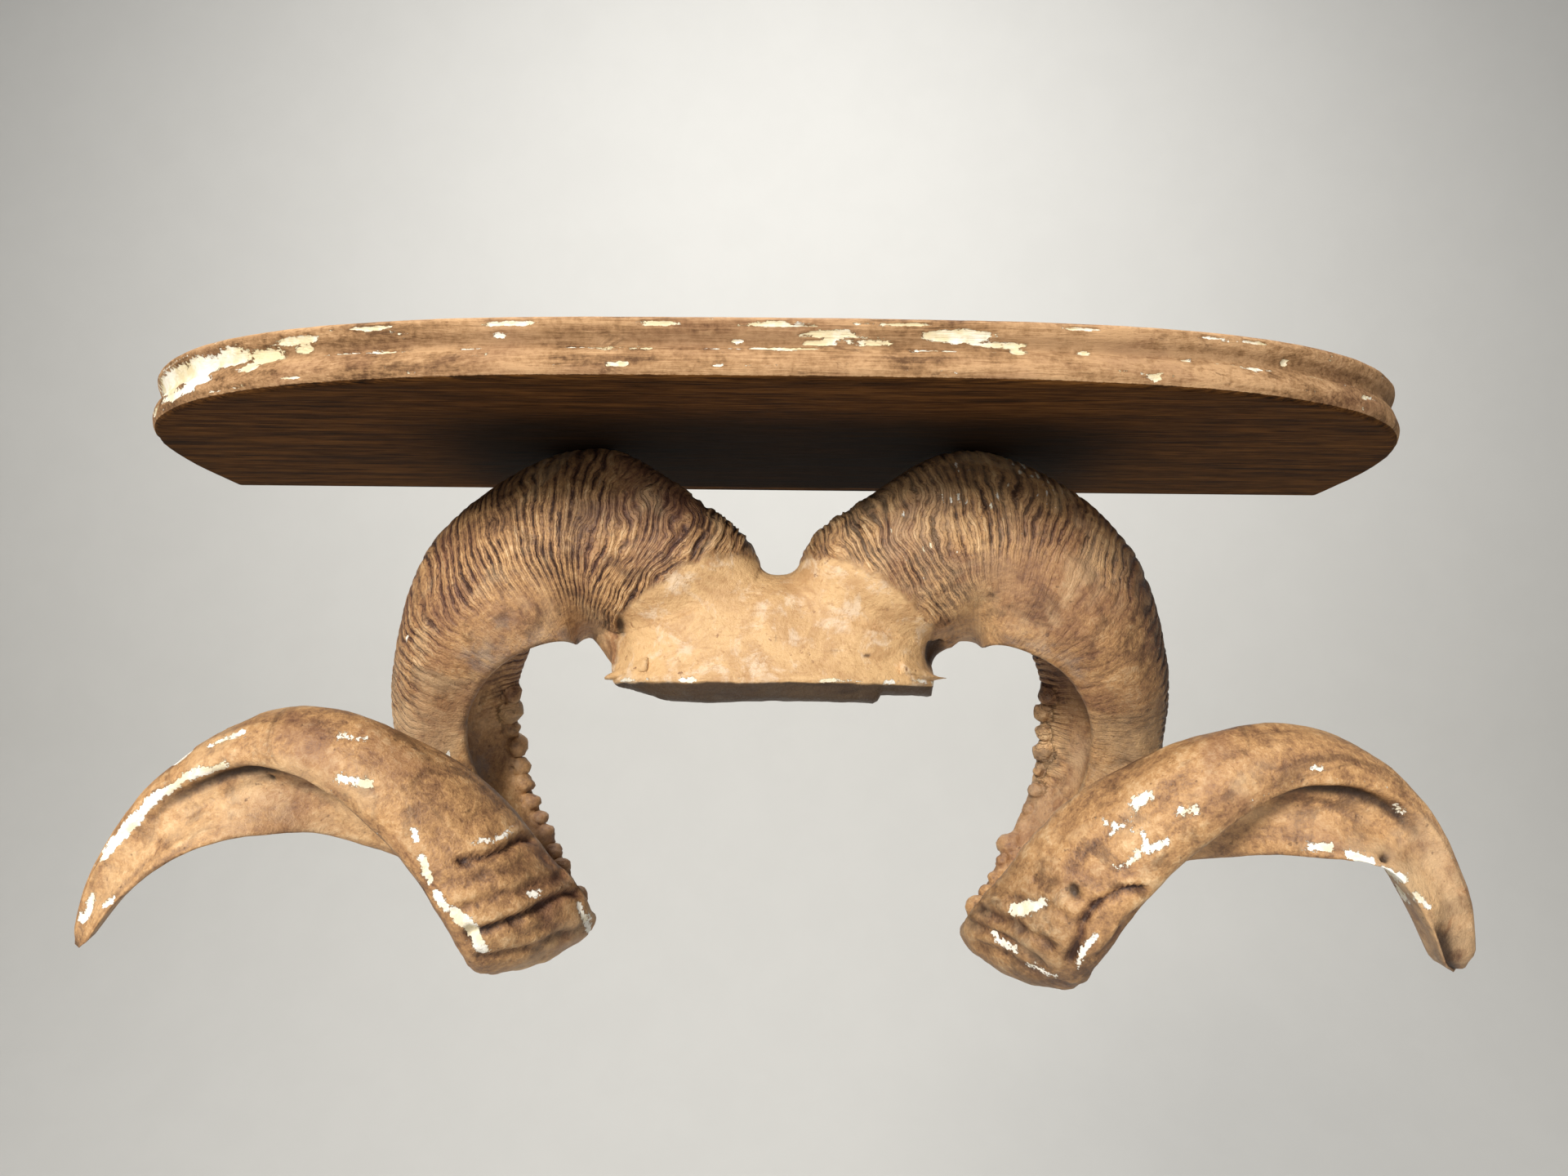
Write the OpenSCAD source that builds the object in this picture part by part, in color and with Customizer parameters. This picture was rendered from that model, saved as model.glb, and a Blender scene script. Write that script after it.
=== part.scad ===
// Wall bracket shelf: a D-shaped moulded shelf on a cast pair of ram's horns.
// Millimetres. X to the right, Y towards the wall, Z up.
// The origin is the middle of the shelf's flat back edge, on the wall plane.

/* [Shelf] */
// Width of the shelf along the wall
shelf_w = 568; // [420:1:700]
// How far the shelf stands out from the wall
shelf_d = 200; // [150:1:260]
// Thickness of the shelf
shelf_t = 23; // [18:0.5:32]
// Squareness of the shelf's plan: 2 is an ellipse, higher is squarer
plan_power = 3.1; // [2.2:0.1:5]
// Height of the thin lip along the top of the edge
lip_h = 2.4; // [1:0.1:4]
// How far the lip stands behind the bead
lip_in = 1.5; // [0:0.5:8]
// How far the hollow between lip and bead is cut in
cove_in = 4.5; // [3:0.5:14]
// Height of the round bead along the bottom of the edge
bead_h = 11; // [7:0.5:14]

/* [Hanging holes] */
// Diameter of each hole in the back edge
hole_d = 5; // [3:0.5:8]
// Depth of each hole
hole_depth = 16; // [8:1:30]
// Distance between the two holes
hole_gap = 400; // [150:1:500]

/* [Horns] */
// Distance between the two tips
horn_span = 592; // [440:1:700]
// How far the lowest turn hangs below the shelf, measured to the horn's centre line
horn_drop = 215; // [170:1:260]
// How far the arch of the horns stands out from the wall
horn_reach = 84; // [70:1:105]
// Size of the horn's section against its usual size
horn_girth = 1; // [0.8:0.01:1.2]
// How much further forward the right tip stands than the left one
right_forward = 27; // [0:1:45]
// How much further in the right tip stands than the left one
right_short = 21; // [0:1:40]
// How much further out the rest of the right horn stands than the left one
right_out = 4; // [0:1:15]
// How much lower the right horn's turn hangs than the left one's
right_drop = 3; // [0:0.5:12]
// How much wider the right horn's broken end is than the left horn's tip
right_blunt = 7; // [0:0.5:18]
// How much of the last station is broken off the right horn
right_broken = 0.15; // [0:0.05:0.8]
// Number of knobs along the ragged keel of each horn
knobs = 7; // [3:1:12]
// Diameter of the largest knob
knob_d = 13; // [6:0.5:18]

/* [Skull cap] */
// Width of the skull cap along its cut edge
cap_w = 154; // [110:1:190]
// How far the skull cap's bare saddle lies below the shelf
cap_top = 54; // [35:1:75]
// How far the cut edge lies below the shelf
cap_bottom = 104; // [85:1:130]
// How far the cut edge stands out from the wall
cap_front = 119; // [100:1:145]
// Height of the sawn face under the cut edge
cap_saw = 9; // [4:0.5:14]

/* [Hidden] */

SHELF_COLOUR = "#5f4530";
HORN_COLOUR = "#9c7752";
CAP_COLOUR = "#cda877";

UNDER = -shelf_t / 2;         // height of the shelf's underside
PLAN_STEPS = 56;              // steps round the shelf's edge
RINGS = 64;                   // rings along a horn
RING_POINTS = 18;             // points round a ring, two for each outline point
CAP_SLICES = 22;              // slices across the skull cap

// Each station along a horn: out from the middle, out from the wall and down from
// the shelf, then the section: width between its two outer keels, height of its
// outer face, depth of its inner keel, that keel's shift, how hollow the face
// towards the tip side is, how hollow the face towards the middle is, and twist.
STATIONS = [
    [ 22, 72,  77, 54, 40, 30,  0,  -4,  0,   0],
    [ 50, 76,  63, 60, 48, 36,  0,  -3,  0,   0],
    [ 87, 82,  45, 66, 46, 40, -2,  -6,  4,   0],
    [126, 72,  62, 64, 44, 38, -4,  -8,  8,   0],
    [147, 53,  92, 61, 30, 30, -6,  -9,  9,   0],
    [152, 37, 124, 59, 20, 24, -8,  -8, 10,   0],
    [144, 29, 160, 58, 17, 22, -8,  -7,  9,   0],
    [122, 40, 197, 56, 15, 22, -6,  -2,  8,  -8],
    [108, 62, 215, 54, 15, 22, -2,   0,  6, -18],
    [114, 86, 201, 53, 15, 22, -6,   3,  4,  -8],
    [135, 91, 171, 52, 17, 27, -6,   5,  2,   0],
    [165, 93, 149, 46, 21, 31, -3,   7,  0,   0],
    [198, 92, 140, 40, 24, 28,  0,   7, -2,   0],
    [230, 91, 145, 34, 22, 28,  0,   6, -2,   0],
    [260, 90, 163, 27, 17, 25,  0,   3, -2,   0],
    [284, 89, 191, 18, 10, 17,  0,   0, -1,   0],
    [297, 88, 218,  6,  4,  7,  0,   0,  0,   0]];
LAST = len(STATIONS) - 1;
USUAL_SPAN = 2 * STATIONS[LAST][0];
USUAL_DROP = 215;
USUAL_REACH = 84;
TURN = 8;                     // station at the lowest turn
CURL_AXIS = [-0.8, 0.6, 0];   // direction of the curl's axis, towards its inner side

// A smooth step from 0 to 1
function ease(t) = let (u = min(max(t, 0), 1)) u * u * (3 - 2 * u);
function unit(v) = v / norm(v);
// A curve through p1 at f = 0 and p2 at f = 1
function through(p0, p1, p2, p3, f) =
    0.5 * (2 * p1 + (p2 - p0) * f + (2 * p0 - 5 * p1 + 4 * p2 - p3) * f * f
           + (3 * p1 - p0 - 3 * p2 + p3) * f * f * f);

// ---- Shelf ----

// Point of the shelf's plan at angle a, from 0 at the right end to 180 at the left
function plan(a) = [
    shelf_w / 2 * sign(cos(a)) * pow(abs(cos(a)), 2 / plan_power),
    -shelf_d * pow(abs(sin(a)), 2 / plan_power)];
// Outward direction of the plan's edge at angle a
function plan_out(a) =
    let (p = plan(a), q = plan_power - 1)
    unit([sign(p.x) * pow(abs(p.x) / (shelf_w / 2), q) / shelf_w * 2,
          -pow(abs(p.y) / shelf_d, q) / shelf_d]);
// Angles that space the plan's points evenly round its corners
function plan_angle(i) = 180 * i / PLAN_STEPS;

// The edge's section from the top down: how far in from the bead, and the height
BEAD_TOP = UNDER + bead_h;
COVE_H = shelf_t - lip_h - bead_h;
EDGE = concat(
    [[lip_in + 1, -UNDER], [lip_in, -UNDER - 1], [lip_in, -UNDER - lip_h]],
    [for (k = [1:4])
        let (a = 180 * k / 5)
        [lip_in + (cove_in - lip_in) * sin(a), -UNDER - lip_h - COVE_H * k / 5]],
    [[lip_in, BEAD_TOP + 0.4], [lip_in - 1.5, BEAD_TOP]],
    [for (k = [1:6])
        let (a = 15 + 165 * k / 6, r = bead_h / 2)
        [r - r * sin(a) * (a < 150 ? 1 : 0.9), UNDER + r + r * cos(a)]]);

module moulded_board() {
    m = len(EDGE);
    pts = [for (i = [0:PLAN_STEPS]) let (a = plan_angle(i), p = plan(a), d = plan_out(a))
        for (e = EDGE) [p.x - d.x * e[0], min(p.y - d.y * e[0], 0), e[1]]];
    sides = [for (i = [0:PLAN_STEPS - 1], j = [0:m - 2])
        [i * m + j, i * m + j + 1, (i + 1) * m + j + 1, (i + 1) * m + j]];
    top = [[for (i = [0:PLAN_STEPS]) i * m]];
    bottom = [[for (i = [PLAN_STEPS:-1:0]) i * m + m - 1]];
    back = [concat([for (j = [m - 1:-1:0]) j], [for (j = [0:m - 1]) PLAN_STEPS * m + j])];
    polyhedron(pts, concat(sides, top, bottom, back), convexity = 4);
}

module shelf() {
    color(SHELF_COLOUR) difference() {
        moulded_board();
        for (s = [-1, 1])
            translate([s * hole_gap / 2, -hole_depth, 0])
                rotate([-90, 0, 0]) cylinder(h = hole_depth + 1, d = hole_d, $fn = 48);
    }
}

// ---- Horns ----

// Station values at place t along a horn, where t counts stations
function station(t) =
    let (i = min(floor(t), LAST - 1), f = t - i, p = STATIONS[i], q = STATIONS[i + 1])
    through(i > 0 ? STATIONS[i - 1] : 2 * p - q, p, q,
            i < LAST - 1 ? STATIONS[i + 2] : 2 * q - p, f);
// Centre line of a horn; right is 1 for the right horn and 0 for the left
function centre(t, right) =
    let (s = station(t), arm = ease((t - TURN) / 5), tip = ease((t - LAST + 3) / 3))
    [s[0] * horn_span / USUAL_SPAN - right * right_short * tip + right * right_out,
     -s[1] * horn_reach / USUAL_REACH - right * (4 + (right_forward - 4) * arm),
     UNDER - s[2] * horn_drop / USUAL_DROP - right * right_drop * ease(t - TURN + 3)];

// Station values with the right horn's broken end made wider
function horn_station(t, right) =
    let (s = station(t), more = right * right_blunt * ease((t - LAST + 2.5) / 2.5))
    [for (i = [0:9]) s[i] + (i == 3 ? more : i == 4 || i == 5 ? 0.45 * more : 0)];

// Outline of a horn's section: outer face, then the two faces under it
function section_points(s) =
    let (w = max(s[3], 1) * horn_girth, b = max(s[4], 1) * horn_girth,
         h = max(s[5], 1) * horn_girth, k = s[6], dl = s[7], dm = s[8])
    [[-w / 2, -0.04 * h], [-0.4 * w, 0.62 * b], [0, b], [0.4 * w, 0.62 * b],
     [w / 2, -0.04 * h],
     [(w / 2 + k) / 2 - 0.8 * dm, -h / 2 + 0.6 * dm],
     [k + 0.06 * w, -h], [k - 0.06 * w, -h],
     [(k - w / 2) / 2 + 0.8 * dl, -h / 2 + 0.6 * dl]];
function section(s) =
    let (p = section_points(s), n = len(p))
    [for (j = [0:RING_POINTS - 1])
        let (u = j * n / RING_POINTS, i = floor(u), f = u - i)
        through(p[(i + n - 1) % n], p[i % n], p[(i + 1) % n], p[(i + 2) % n], f)];

// The two directions across a horn at place t: towards the inner keel, and outwards
function across(t, right) =
    let (d = unit(centre(min(t + 0.6, LAST), right) - centre(max(t - 0.6, 0), right)),
         e1 = unit(CURL_AXIS - (CURL_AXIS * d) * d), e2 = -cross(e1, d),
         a = station(t)[9])
    [e1 * cos(a) + e2 * sin(a), e2 * cos(a) - e1 * sin(a)];

module horn(right) {
    n = RING_POINTS;
    pts = [for (r = [0:RINGS])
        let (t = (LAST - right * right_broken) * r / RINGS,
             c = centre(t, right), e = across(t, right))
        for (p = section(horn_station(t, right))) c + p[0] * e[0] + p[1] * e[1]];
    sides = [for (r = [0:RINGS - 1], j = [0:n - 1])
        let (k = (j + 1) % n, a = r * n, b = (r + 1) * n)
        each [[a + j, b + k, b + j], [a + j, a + k, b + k]]];
    ends = [[for (j = [n - 1:-1:0]) j], [for (j = [0:n - 1]) RINGS * n + j]];
    mirror([1 - right, 0, 0])
        polyhedron(pts, concat(sides, ends), convexity = 10);
}

// Knobs along the inner keel, where the horn comes down behind
module knob_row(right) {
    mirror([1 - right, 0, 0])
        for (i = [0:knobs - 1]) {
            t = 5 + 2.6 * i / (knobs - 1);
            d = knob_d * (1 - 0.3 * abs(i - knobs / 2) / knobs) / 2;
            e = across(t, right);
            w = station(t)[3] * horn_girth;
            p = centre(t, right) + e[0] * (w / 2 - d * 0.3);
            hull() {
                translate(p) sphere(d = d, $fn = 12);
                translate(p - e[0] * d) sphere(d = d * 1.3, $fn = 12);
            }
        }
}

// ---- Skull cap ----

// Section of the skull cap at u, from -1 at its left end to 1 at its right end
function cap_slice(u) =
    let (e = abs(u), front = cap_front - 28 * pow(e, 2.4),
         top = UNDER - cap_top + 22 * pow(e, 2.2), low = UNDER - cap_bottom,
         mid = top + (low - top) * 0.55)
    [[front, low], [front - 1.5, low + 1.5], [front - 6 - 2 * e, mid],
     [front - 15 - 4 * e, top - 5], [front - 22 - 4 * e, top], [front - 36, top + 1],
     [62, top - 9], [48, mid], [50, low], [front - 30 + 8 * e, low - cap_saw + 1],
     [front - 9, low - cap_saw]];

module skull_cap() {
    // A narrower pair of horns takes a narrower cap
    half = cap_w / 2 * min(1, horn_span / USUAL_SPAN);
    n = len(cap_slice(0));
    pts = [for (i = [0:CAP_SLICES])
        let (u = -1 + 2 * i / CAP_SLICES)
        for (p = cap_slice(u)) [u * half, -p[0], p[1]]];
    sides = [for (i = [0:CAP_SLICES - 1], j = [0:n - 1])
        let (k = (j + 1) % n, a = i * n, b = (i + 1) * n)
        each [[a + j, b + k, b + j], [a + j, a + k, b + k]]];
    ends = [[for (j = [n - 1:-1:0]) j], [for (j = [0:n - 1]) CAP_SLICES * n + j]];
    polyhedron(pts, concat(sides, ends), convexity = 6);
}

// Everything above the shelf's underside, where the horns are cut flat to seat
module above_seat() {
    size = shelf_w + horn_span;
    translate([-size / 2, -size / 2, UNDER]) cube([size, size, size]);
}

module ram_horns() {
    difference() {
        union() {
            color(HORN_COLOUR) for (right = [0, 1]) {
                horn(right);
                knob_row(right);
            }
            color(CAP_COLOUR) skull_cap();
        }
        above_seat();
    }
}

shelf();
ram_horns();
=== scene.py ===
import math

import bmesh
import bpy
import numpy as np
from bpy.props import FloatProperty, FloatVectorProperty, IntProperty, PointerProperty
from mathutils import Matrix, Vector
from mathutils.kdtree import KDTree


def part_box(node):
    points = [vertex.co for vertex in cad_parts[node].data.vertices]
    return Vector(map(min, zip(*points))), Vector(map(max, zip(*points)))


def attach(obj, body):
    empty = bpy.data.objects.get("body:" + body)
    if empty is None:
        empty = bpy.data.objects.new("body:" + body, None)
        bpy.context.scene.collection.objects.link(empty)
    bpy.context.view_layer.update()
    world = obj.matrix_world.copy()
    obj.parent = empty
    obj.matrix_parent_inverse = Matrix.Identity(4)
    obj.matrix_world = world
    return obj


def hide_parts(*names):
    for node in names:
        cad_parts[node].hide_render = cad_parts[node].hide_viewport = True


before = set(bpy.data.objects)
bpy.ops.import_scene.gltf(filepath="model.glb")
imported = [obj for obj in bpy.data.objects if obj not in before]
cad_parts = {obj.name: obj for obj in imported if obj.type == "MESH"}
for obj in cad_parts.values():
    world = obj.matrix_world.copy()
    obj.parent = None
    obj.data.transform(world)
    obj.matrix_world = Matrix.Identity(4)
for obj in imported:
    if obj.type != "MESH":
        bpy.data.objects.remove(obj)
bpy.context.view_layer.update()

bl_info = {
    "name": "Ram's horn bracket shelf",
    "version": (1, 0, 0),
    "blender": (4, 5, 0),
    "location": "3D View > Sidebar > Bracket",
    "description": "A moulded shelf on a cast pair of ram's horns, in worn brown paint",
    "category": "Object",
}

SHELF_LOW, SHELF_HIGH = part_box("shelf")
HORNS_LOW, HORNS_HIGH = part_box("ram_horns")
MM = 0.001

# Sizes read from the frame, in millimetres
SHELF_W = (SHELF_HIGH.x - SHELF_LOW.x) / MM
SHELF_D = -SHELF_LOW.y / MM
SHELF_T = (SHELF_HIGH.z - SHELF_LOW.z) / MM
UNDER = SHELF_LOW.z / MM
# Turns a right-hand shape into a left-hand one
MIRROR = np.array([-1, 1, 1])


# ---------------------------------------------------------------- shared sums

def ease(u):
    """A smooth step from 0 to 1."""
    u = np.clip(u, 0, 1)
    return u * u * (3 - 2 * u)


def bell(x, middle, width):
    """1 at the middle, falling off over the width."""
    return np.exp(-((x - middle) / width) ** 2)


def between(x, low, high, edge):
    """1 from low to high, with soft edges."""
    return ease((x - low) / edge + 0.5) * ease((high - x) / edge + 0.5)


def unit(v):
    return v / np.maximum(np.linalg.norm(v, axis=-1, keepdims=True), 1e-9)


def lattice(i, j, k, seed):
    """A fixed random number from -1 to 1 at each whole-number place, by mixing large primes."""
    n = (i * 1619 + j * 31337 + k * 6971 + seed * 1013) & 0x7FFFFFFF
    n = n ^ (n >> 13)
    n = (n * (n * n * 60493 + 19990303) + 1376312589) & 0x7FFFFFFF
    return 1 - n / 1073741824.0


def noise(p, size, seed):
    """Smooth noise from -1 to 1 with lumps about size across, which may differ along X, Y, Z."""
    q = np.asarray(p, float) / np.asarray(size, float)
    cell = np.floor(q).astype(np.int64)
    f = q - cell
    w = f * f * f * (f * (f * 6 - 15) + 10)
    total = 0
    for corner in range(8):
        dx, dy, dz = corner & 1, corner >> 1 & 1, corner >> 2 & 1
        share = (w[..., 0] if dx else 1 - w[..., 0]) * (w[..., 1] if dy else 1 - w[..., 1])
        share = share * (w[..., 2] if dz else 1 - w[..., 2])
        value = lattice(cell[..., 0] + dx, cell[..., 1] + dy, cell[..., 2] + dz, seed)
        total = total + share * value
    return total


def cloud(p, size, octaves, seed):
    """Noise with finer and finer lumps added."""
    total = 0
    for o in range(octaves):
        total = total + noise(p, np.asarray(size, float) / 2 ** o, seed + 17 * o) / 2 ** o
    return total / (2 - 2 ** (1 - octaves))


def noise3(p, size, seed):
    """Three noises at once, as a shift in space."""
    return np.stack([noise(p, size, seed + k) for k in range(3)], -1)


def through(p0, p1, p2, p3, f):
    """A curve through p1 at f = 0 and p2 at f = 1."""
    return 0.5 * (2 * p1 + (p2 - p0) * f + (2 * p0 - 5 * p1 + 4 * p2 - p3) * f ** 2
                  + (3 * p1 - p0 - 3 * p2 + p3) * f ** 3)


def spline(rows, t):
    """Values of a table of stations at places t, which count stations."""
    last = len(rows) - 1
    i = np.clip(np.floor(t).astype(int), 0, last - 1)
    f = (t - i)[:, None]
    p, q = rows[i], rows[i + 1]
    before = np.where((i > 0)[:, None], rows[np.maximum(i - 1, 0)], 2 * p - q)
    after = np.where((i < last - 1)[:, None], rows[np.minimum(i + 2, last)], 2 * q - p)
    return through(before, p, q, after, f)


def loop_spline(points, v):
    """Values of a closed outline at places v, which count its points."""
    n = len(points)
    i = np.floor(v).astype(int)
    f = (v - i)[:, None]
    return through(points[(i - 1) % n], points[i % n], points[(i + 1) % n], points[(i + 2) % n], f)


def run_along(line):
    """Distance along a line of points, at each of them."""
    return np.append(0, np.cumsum(np.linalg.norm(np.diff(line, axis=0), axis=1)))


def points_at(line, steps, at):
    """Points of a flat line at distances along it."""
    return np.stack([np.interp(at, steps, line[:, k]) for k in (0, 1)], -1)


# ---------------------------------------------------------------- mesh helpers

def store_field(mesh, name, values):
    """Keeps a number for each point of a mesh."""
    field = mesh.attributes.get(name) or mesh.attributes.new(name, "FLOAT", "POINT")
    field.data.foreach_set("value", np.asarray(values, np.float32))


def read_field(mesh, name):
    values = np.zeros(len(mesh.vertices), np.float32)
    mesh.attributes[name].data.foreach_get("value", values)
    return values.astype(float)


def read_points(mesh):
    co = np.zeros(len(mesh.vertices) * 3)
    mesh.vertices.foreach_get("co", co)
    return co.reshape(-1, 3)


def move_points(mesh, co):
    mesh.vertices.foreach_set("co", co.ravel())
    mesh.update()


def grid_faces(rings, points):
    """Quads of a tube of rings."""
    r = np.arange(rings - 1)[:, None] * points
    j = np.arange(points)[None, :]
    k = (j + 1) % points
    quads = np.stack([r + j, r + k, r + points + k, r + points + j], -1)
    return quads.reshape(-1, 4)


def tube_object(name, grid, fields):
    """A closed tube from a grid of points in millimetres, with its fields' value at each point."""
    rings, points = grid.shape[:2]
    verts = grid.reshape(-1, 3)
    ends = [verts[:points].mean(0), verts[-points:].mean(0)]
    verts = np.vstack([verts, ends]) * MM
    faces = grid_faces(rings, points).tolist()
    first, last = rings * points, rings * points + 1
    tail = (rings - 1) * points
    for j in range(points):
        k = (j + 1) % points
        faces.append((k, j, first))
        faces.append((tail + j, tail + k, last))
    mesh = bpy.data.meshes.new(name)
    mesh.from_pydata(verts.tolist(), [], faces)
    for field, values in fields.items():
        flat = values.reshape(-1)
        flat = np.append(flat, [flat[:points].mean(), flat[-points:].mean()])
        store_field(mesh, field, flat)
    return finish_mesh(name, mesh)


def finish_mesh(name, mesh):
    """An object at the origin for a mesh, with its faces turned outwards."""
    work = bmesh.new()
    work.from_mesh(mesh)
    bmesh.ops.recalc_face_normals(work, faces=work.faces)
    if work.calc_volume(signed=True) < 0:
        bmesh.ops.reverse_faces(work, faces=work.faces)
    work.to_mesh(mesh)
    work.free()
    mesh.update()
    obj = bpy.data.objects.new(name, mesh)
    bpy.context.scene.collection.objects.link(obj)
    return obj


def as_plain_mesh(obj):
    """Turns the result of an object's modifiers into its own mesh and removes the modifiers."""
    depsgraph = bpy.context.evaluated_depsgraph_get()
    mesh = bpy.data.meshes.new_from_object(obj.evaluated_get(depsgraph), depsgraph=depsgraph)
    obj.modifiers.clear()
    old = obj.data
    obj.data = mesh
    bpy.data.meshes.remove(old)


def join_solids(base, others):
    """Makes one closed solid of several, and removes the others."""
    for other in others:
        union = base.modifiers.new("union", "BOOLEAN")
        union.operation = "UNION"
        union.solver = "MANIFOLD"
        union.object = other
        as_plain_mesh(base)
        bpy.data.objects.remove(other)


def fit_in_box(obj, low, high):
    """Presses a mesh's points into a box, in metres."""
    move_points(obj.data, np.clip(read_points(obj.data), np.array(low), np.array(high)))


def coat(obj, paint):
    """Gives a piece one paint all over, and smooth shading."""
    mesh = obj.data
    mesh.materials.clear()
    mesh.materials.append(paint)
    mesh.polygons.foreach_set("material_index", [0] * len(mesh.polygons))
    mesh.polygons.foreach_set("use_smooth", [True] * len(mesh.polygons))


# ---------------------------------------------------------------- the horns' form

# Each station along a horn: out from the middle, out from the wall and down from
# the shelf, then the section: width between its two outer keels, height of its
# outer face, depth of its inner keel, that keel's shift, how hollow the face
# towards the tip side is, how hollow the face towards the middle is, and twist.
STATIONS = np.array([
    [22, 72, 77, 54, 40, 30, 0, -4, 0, 0],
    [50, 76, 63, 60, 48, 36, 0, -3, 0, 0],
    [87, 82, 45, 66, 46, 40, -2, -6, 4, 0],
    [126, 72, 62, 64, 44, 38, -4, -8, 8, 0],
    [147, 53, 92, 61, 30, 30, -6, -9, 9, 0],
    [152, 37, 124, 59, 20, 24, -8, -8, 10, 0],
    [144, 29, 160, 58, 17, 22, -8, -7, 9, 0],
    [122, 40, 197, 56, 15, 22, -6, -2, 8, -8],
    [108, 62, 215, 54, 15, 22, -2, 0, 6, -18],
    [114, 86, 201, 53, 15, 22, -6, 3, 4, -8],
    [135, 91, 171, 52, 17, 27, -6, 5, 2, 0],
    [165, 93, 149, 46, 21, 31, -3, 7, 0, 0],
    [198, 92, 140, 40, 24, 28, 0, 7, -2, 0],
    [230, 91, 145, 34, 22, 28, 0, 6, -2, 0],
    [260, 90, 163, 27, 17, 25, 0, 3, -2, 0],
    [284, 89, 191, 18, 10, 17, 0, 0, -1, 0],
    [297, 88, 218, 6, 4, 7, 0, 0, 0, 0]], float)
LAST = len(STATIONS) - 1
# The station at the lowest turn
TURN = 8
CURL_AXIS = np.array([-0.8, 0.6, 0.0])
# From the stations' width to the part's
SPAN_SCALE = 592 / 594
# How the right horn differs from the left, in millimetres: its base and its arm stand
# further forward, its tip is shorter, it stands further out, hangs lower and ends thicker.
RIGHT_BASE_FORWARD = 4
RIGHT_FORWARD = 27
RIGHT_SHORT = 21
RIGHT_OUT = 4
RIGHT_DROP = 3
RIGHT_BLUNT = 7
# How much of its last station is broken off
RIGHT_BROKEN = 0.15

# Places on a section's outline, counted in its points
KEEL_BACK = 4
KEEL_INSIDE = 6.5
OUTLINE_POINTS = 9
# Gaps between rings where the lowest turn is folded and beyond the ridges, in millimetres,
# and the station where the ridges' fine rings end
FOLD_STEP = 1.25
COARSE_STEP = 2.15
FINE_END = 5.2
FOLDED = (7.2, 9.8)
# Points round a horn, and samples for measuring its line and its outline
HORN_POINTS = 108
LINE_SAMPLES = 4000
OUTLINE_SAMPLES = 361


def centre_line(t, right):
    """Centre of a horn at places t, in millimetres, before the left one is mirrored."""
    s = spline(STATIONS, t)
    arm = ease((t - TURN) / 5)
    tip = ease((t - LAST + 3) / 3)
    return np.stack([
        s[:, 0] * SPAN_SCALE + right * (RIGHT_OUT - RIGHT_SHORT * tip),
        -s[:, 1] - right * (RIGHT_BASE_FORWARD + (RIGHT_FORWARD - RIGHT_BASE_FORWARD) * arm),
        UNDER - s[:, 2] - right * RIGHT_DROP * ease(t - TURN + 3)], -1)


def across(t, right):
    """The two directions across a horn: towards the back keel, and outwards."""
    ahead = centre_line(np.minimum(t + 0.6, LAST), right)
    behind = centre_line(np.maximum(t - 0.6, 0), right)
    d = unit(ahead - behind)
    e1 = unit(CURL_AXIS - (d @ CURL_AXIS)[:, None] * d)
    e2 = -np.cross(e1, d)
    a = np.radians(spline(STATIONS, t)[:, 9])[:, None]
    return e1 * np.cos(a) + e2 * np.sin(a), e2 * np.cos(a) - e1 * np.sin(a)


def section_points(s):
    """Outline of a section: outer face, then the two faces under it."""
    w, b, h = np.maximum(s[3:6], 1)
    k, dl, dm = s[6:9]
    return np.array([
        [-w / 2, -0.04 * h], [-0.4 * w, 0.62 * b], [0, b], [0.4 * w, 0.62 * b],
        [w / 2, -0.04 * h],
        [(w / 2 + k) / 2 - 0.8 * dm, -h / 2 + 0.6 * dm],
        [k + 0.06 * w, -h], [k - 0.06 * w, -h],
        [(k - w / 2) / 2 + 0.8 * dl, -h / 2 + 0.6 * dl]])


def ring_places(right, fine_step):
    """Places of the rings: close together over the ridged base, wider beyond it."""
    t = np.linspace(0, LAST - right * RIGHT_BROKEN, LINE_SAMPLES)
    line = centre_line(t, right)
    steps = np.linalg.norm(np.diff(line, axis=0), axis=1)
    length = np.append(0, np.cumsum(steps))
    spacing = COARSE_STEP + (fine_step - COARSE_STEP) * ease((FINE_END - t) / 1.5 + 0.5)
    folded = between(t, *FOLDED, 0.8)
    spacing = np.minimum(spacing, COARSE_STEP + (FOLD_STEP - COARSE_STEP) * folded)
    rings = np.append(0, np.cumsum(steps / spacing[:-1]))
    count = int(rings[-1]) + 1
    places = np.interp(np.linspace(0, rings[-1], count), rings, t)
    return places, np.interp(places, t, length)


def horn_grid(right, fine_step):
    """Grid of points on a smooth horn, with each one's place along and round and distance along."""
    t, length = ring_places(right, fine_step)
    centre = centre_line(t, right)
    e1, e2 = across(t, right)
    stations = spline(STATIONS, t)
    blunt = np.outer(ease((t - LAST + 2.5) / 2.5), [1, 0.45, 0.45])
    stations[:, 3:6] += right * RIGHT_BLUNT * blunt
    stations[:, 3:6] *= np.sqrt(1 - 0.8 * ease((t - t[-1] + 0.3) / 0.3) ** 2)[:, None]
    v_fine = np.linspace(0, OUTLINE_POINTS, OUTLINE_SAMPLES)
    grid = np.zeros((len(t), HORN_POINTS, 3))
    round_v = np.zeros((len(t), HORN_POINTS))
    for r, station in enumerate(stations):
        section = section_points(station)
        steps = run_along(loop_spline(section, v_fine))
        v = np.interp(np.arange(HORN_POINTS) * steps[-1] / HORN_POINTS, steps, v_fine)
        p = loop_spline(section, v)
        grid[r] = centre[r] + p[:, :1] * e1[r] + p[:, 1:] * e2[r]
        round_v[r] = v
    along, length = (np.repeat(a[:, None], HORN_POINTS, 1) for a in (t, length))
    return grid, along, round_v, length


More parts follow.
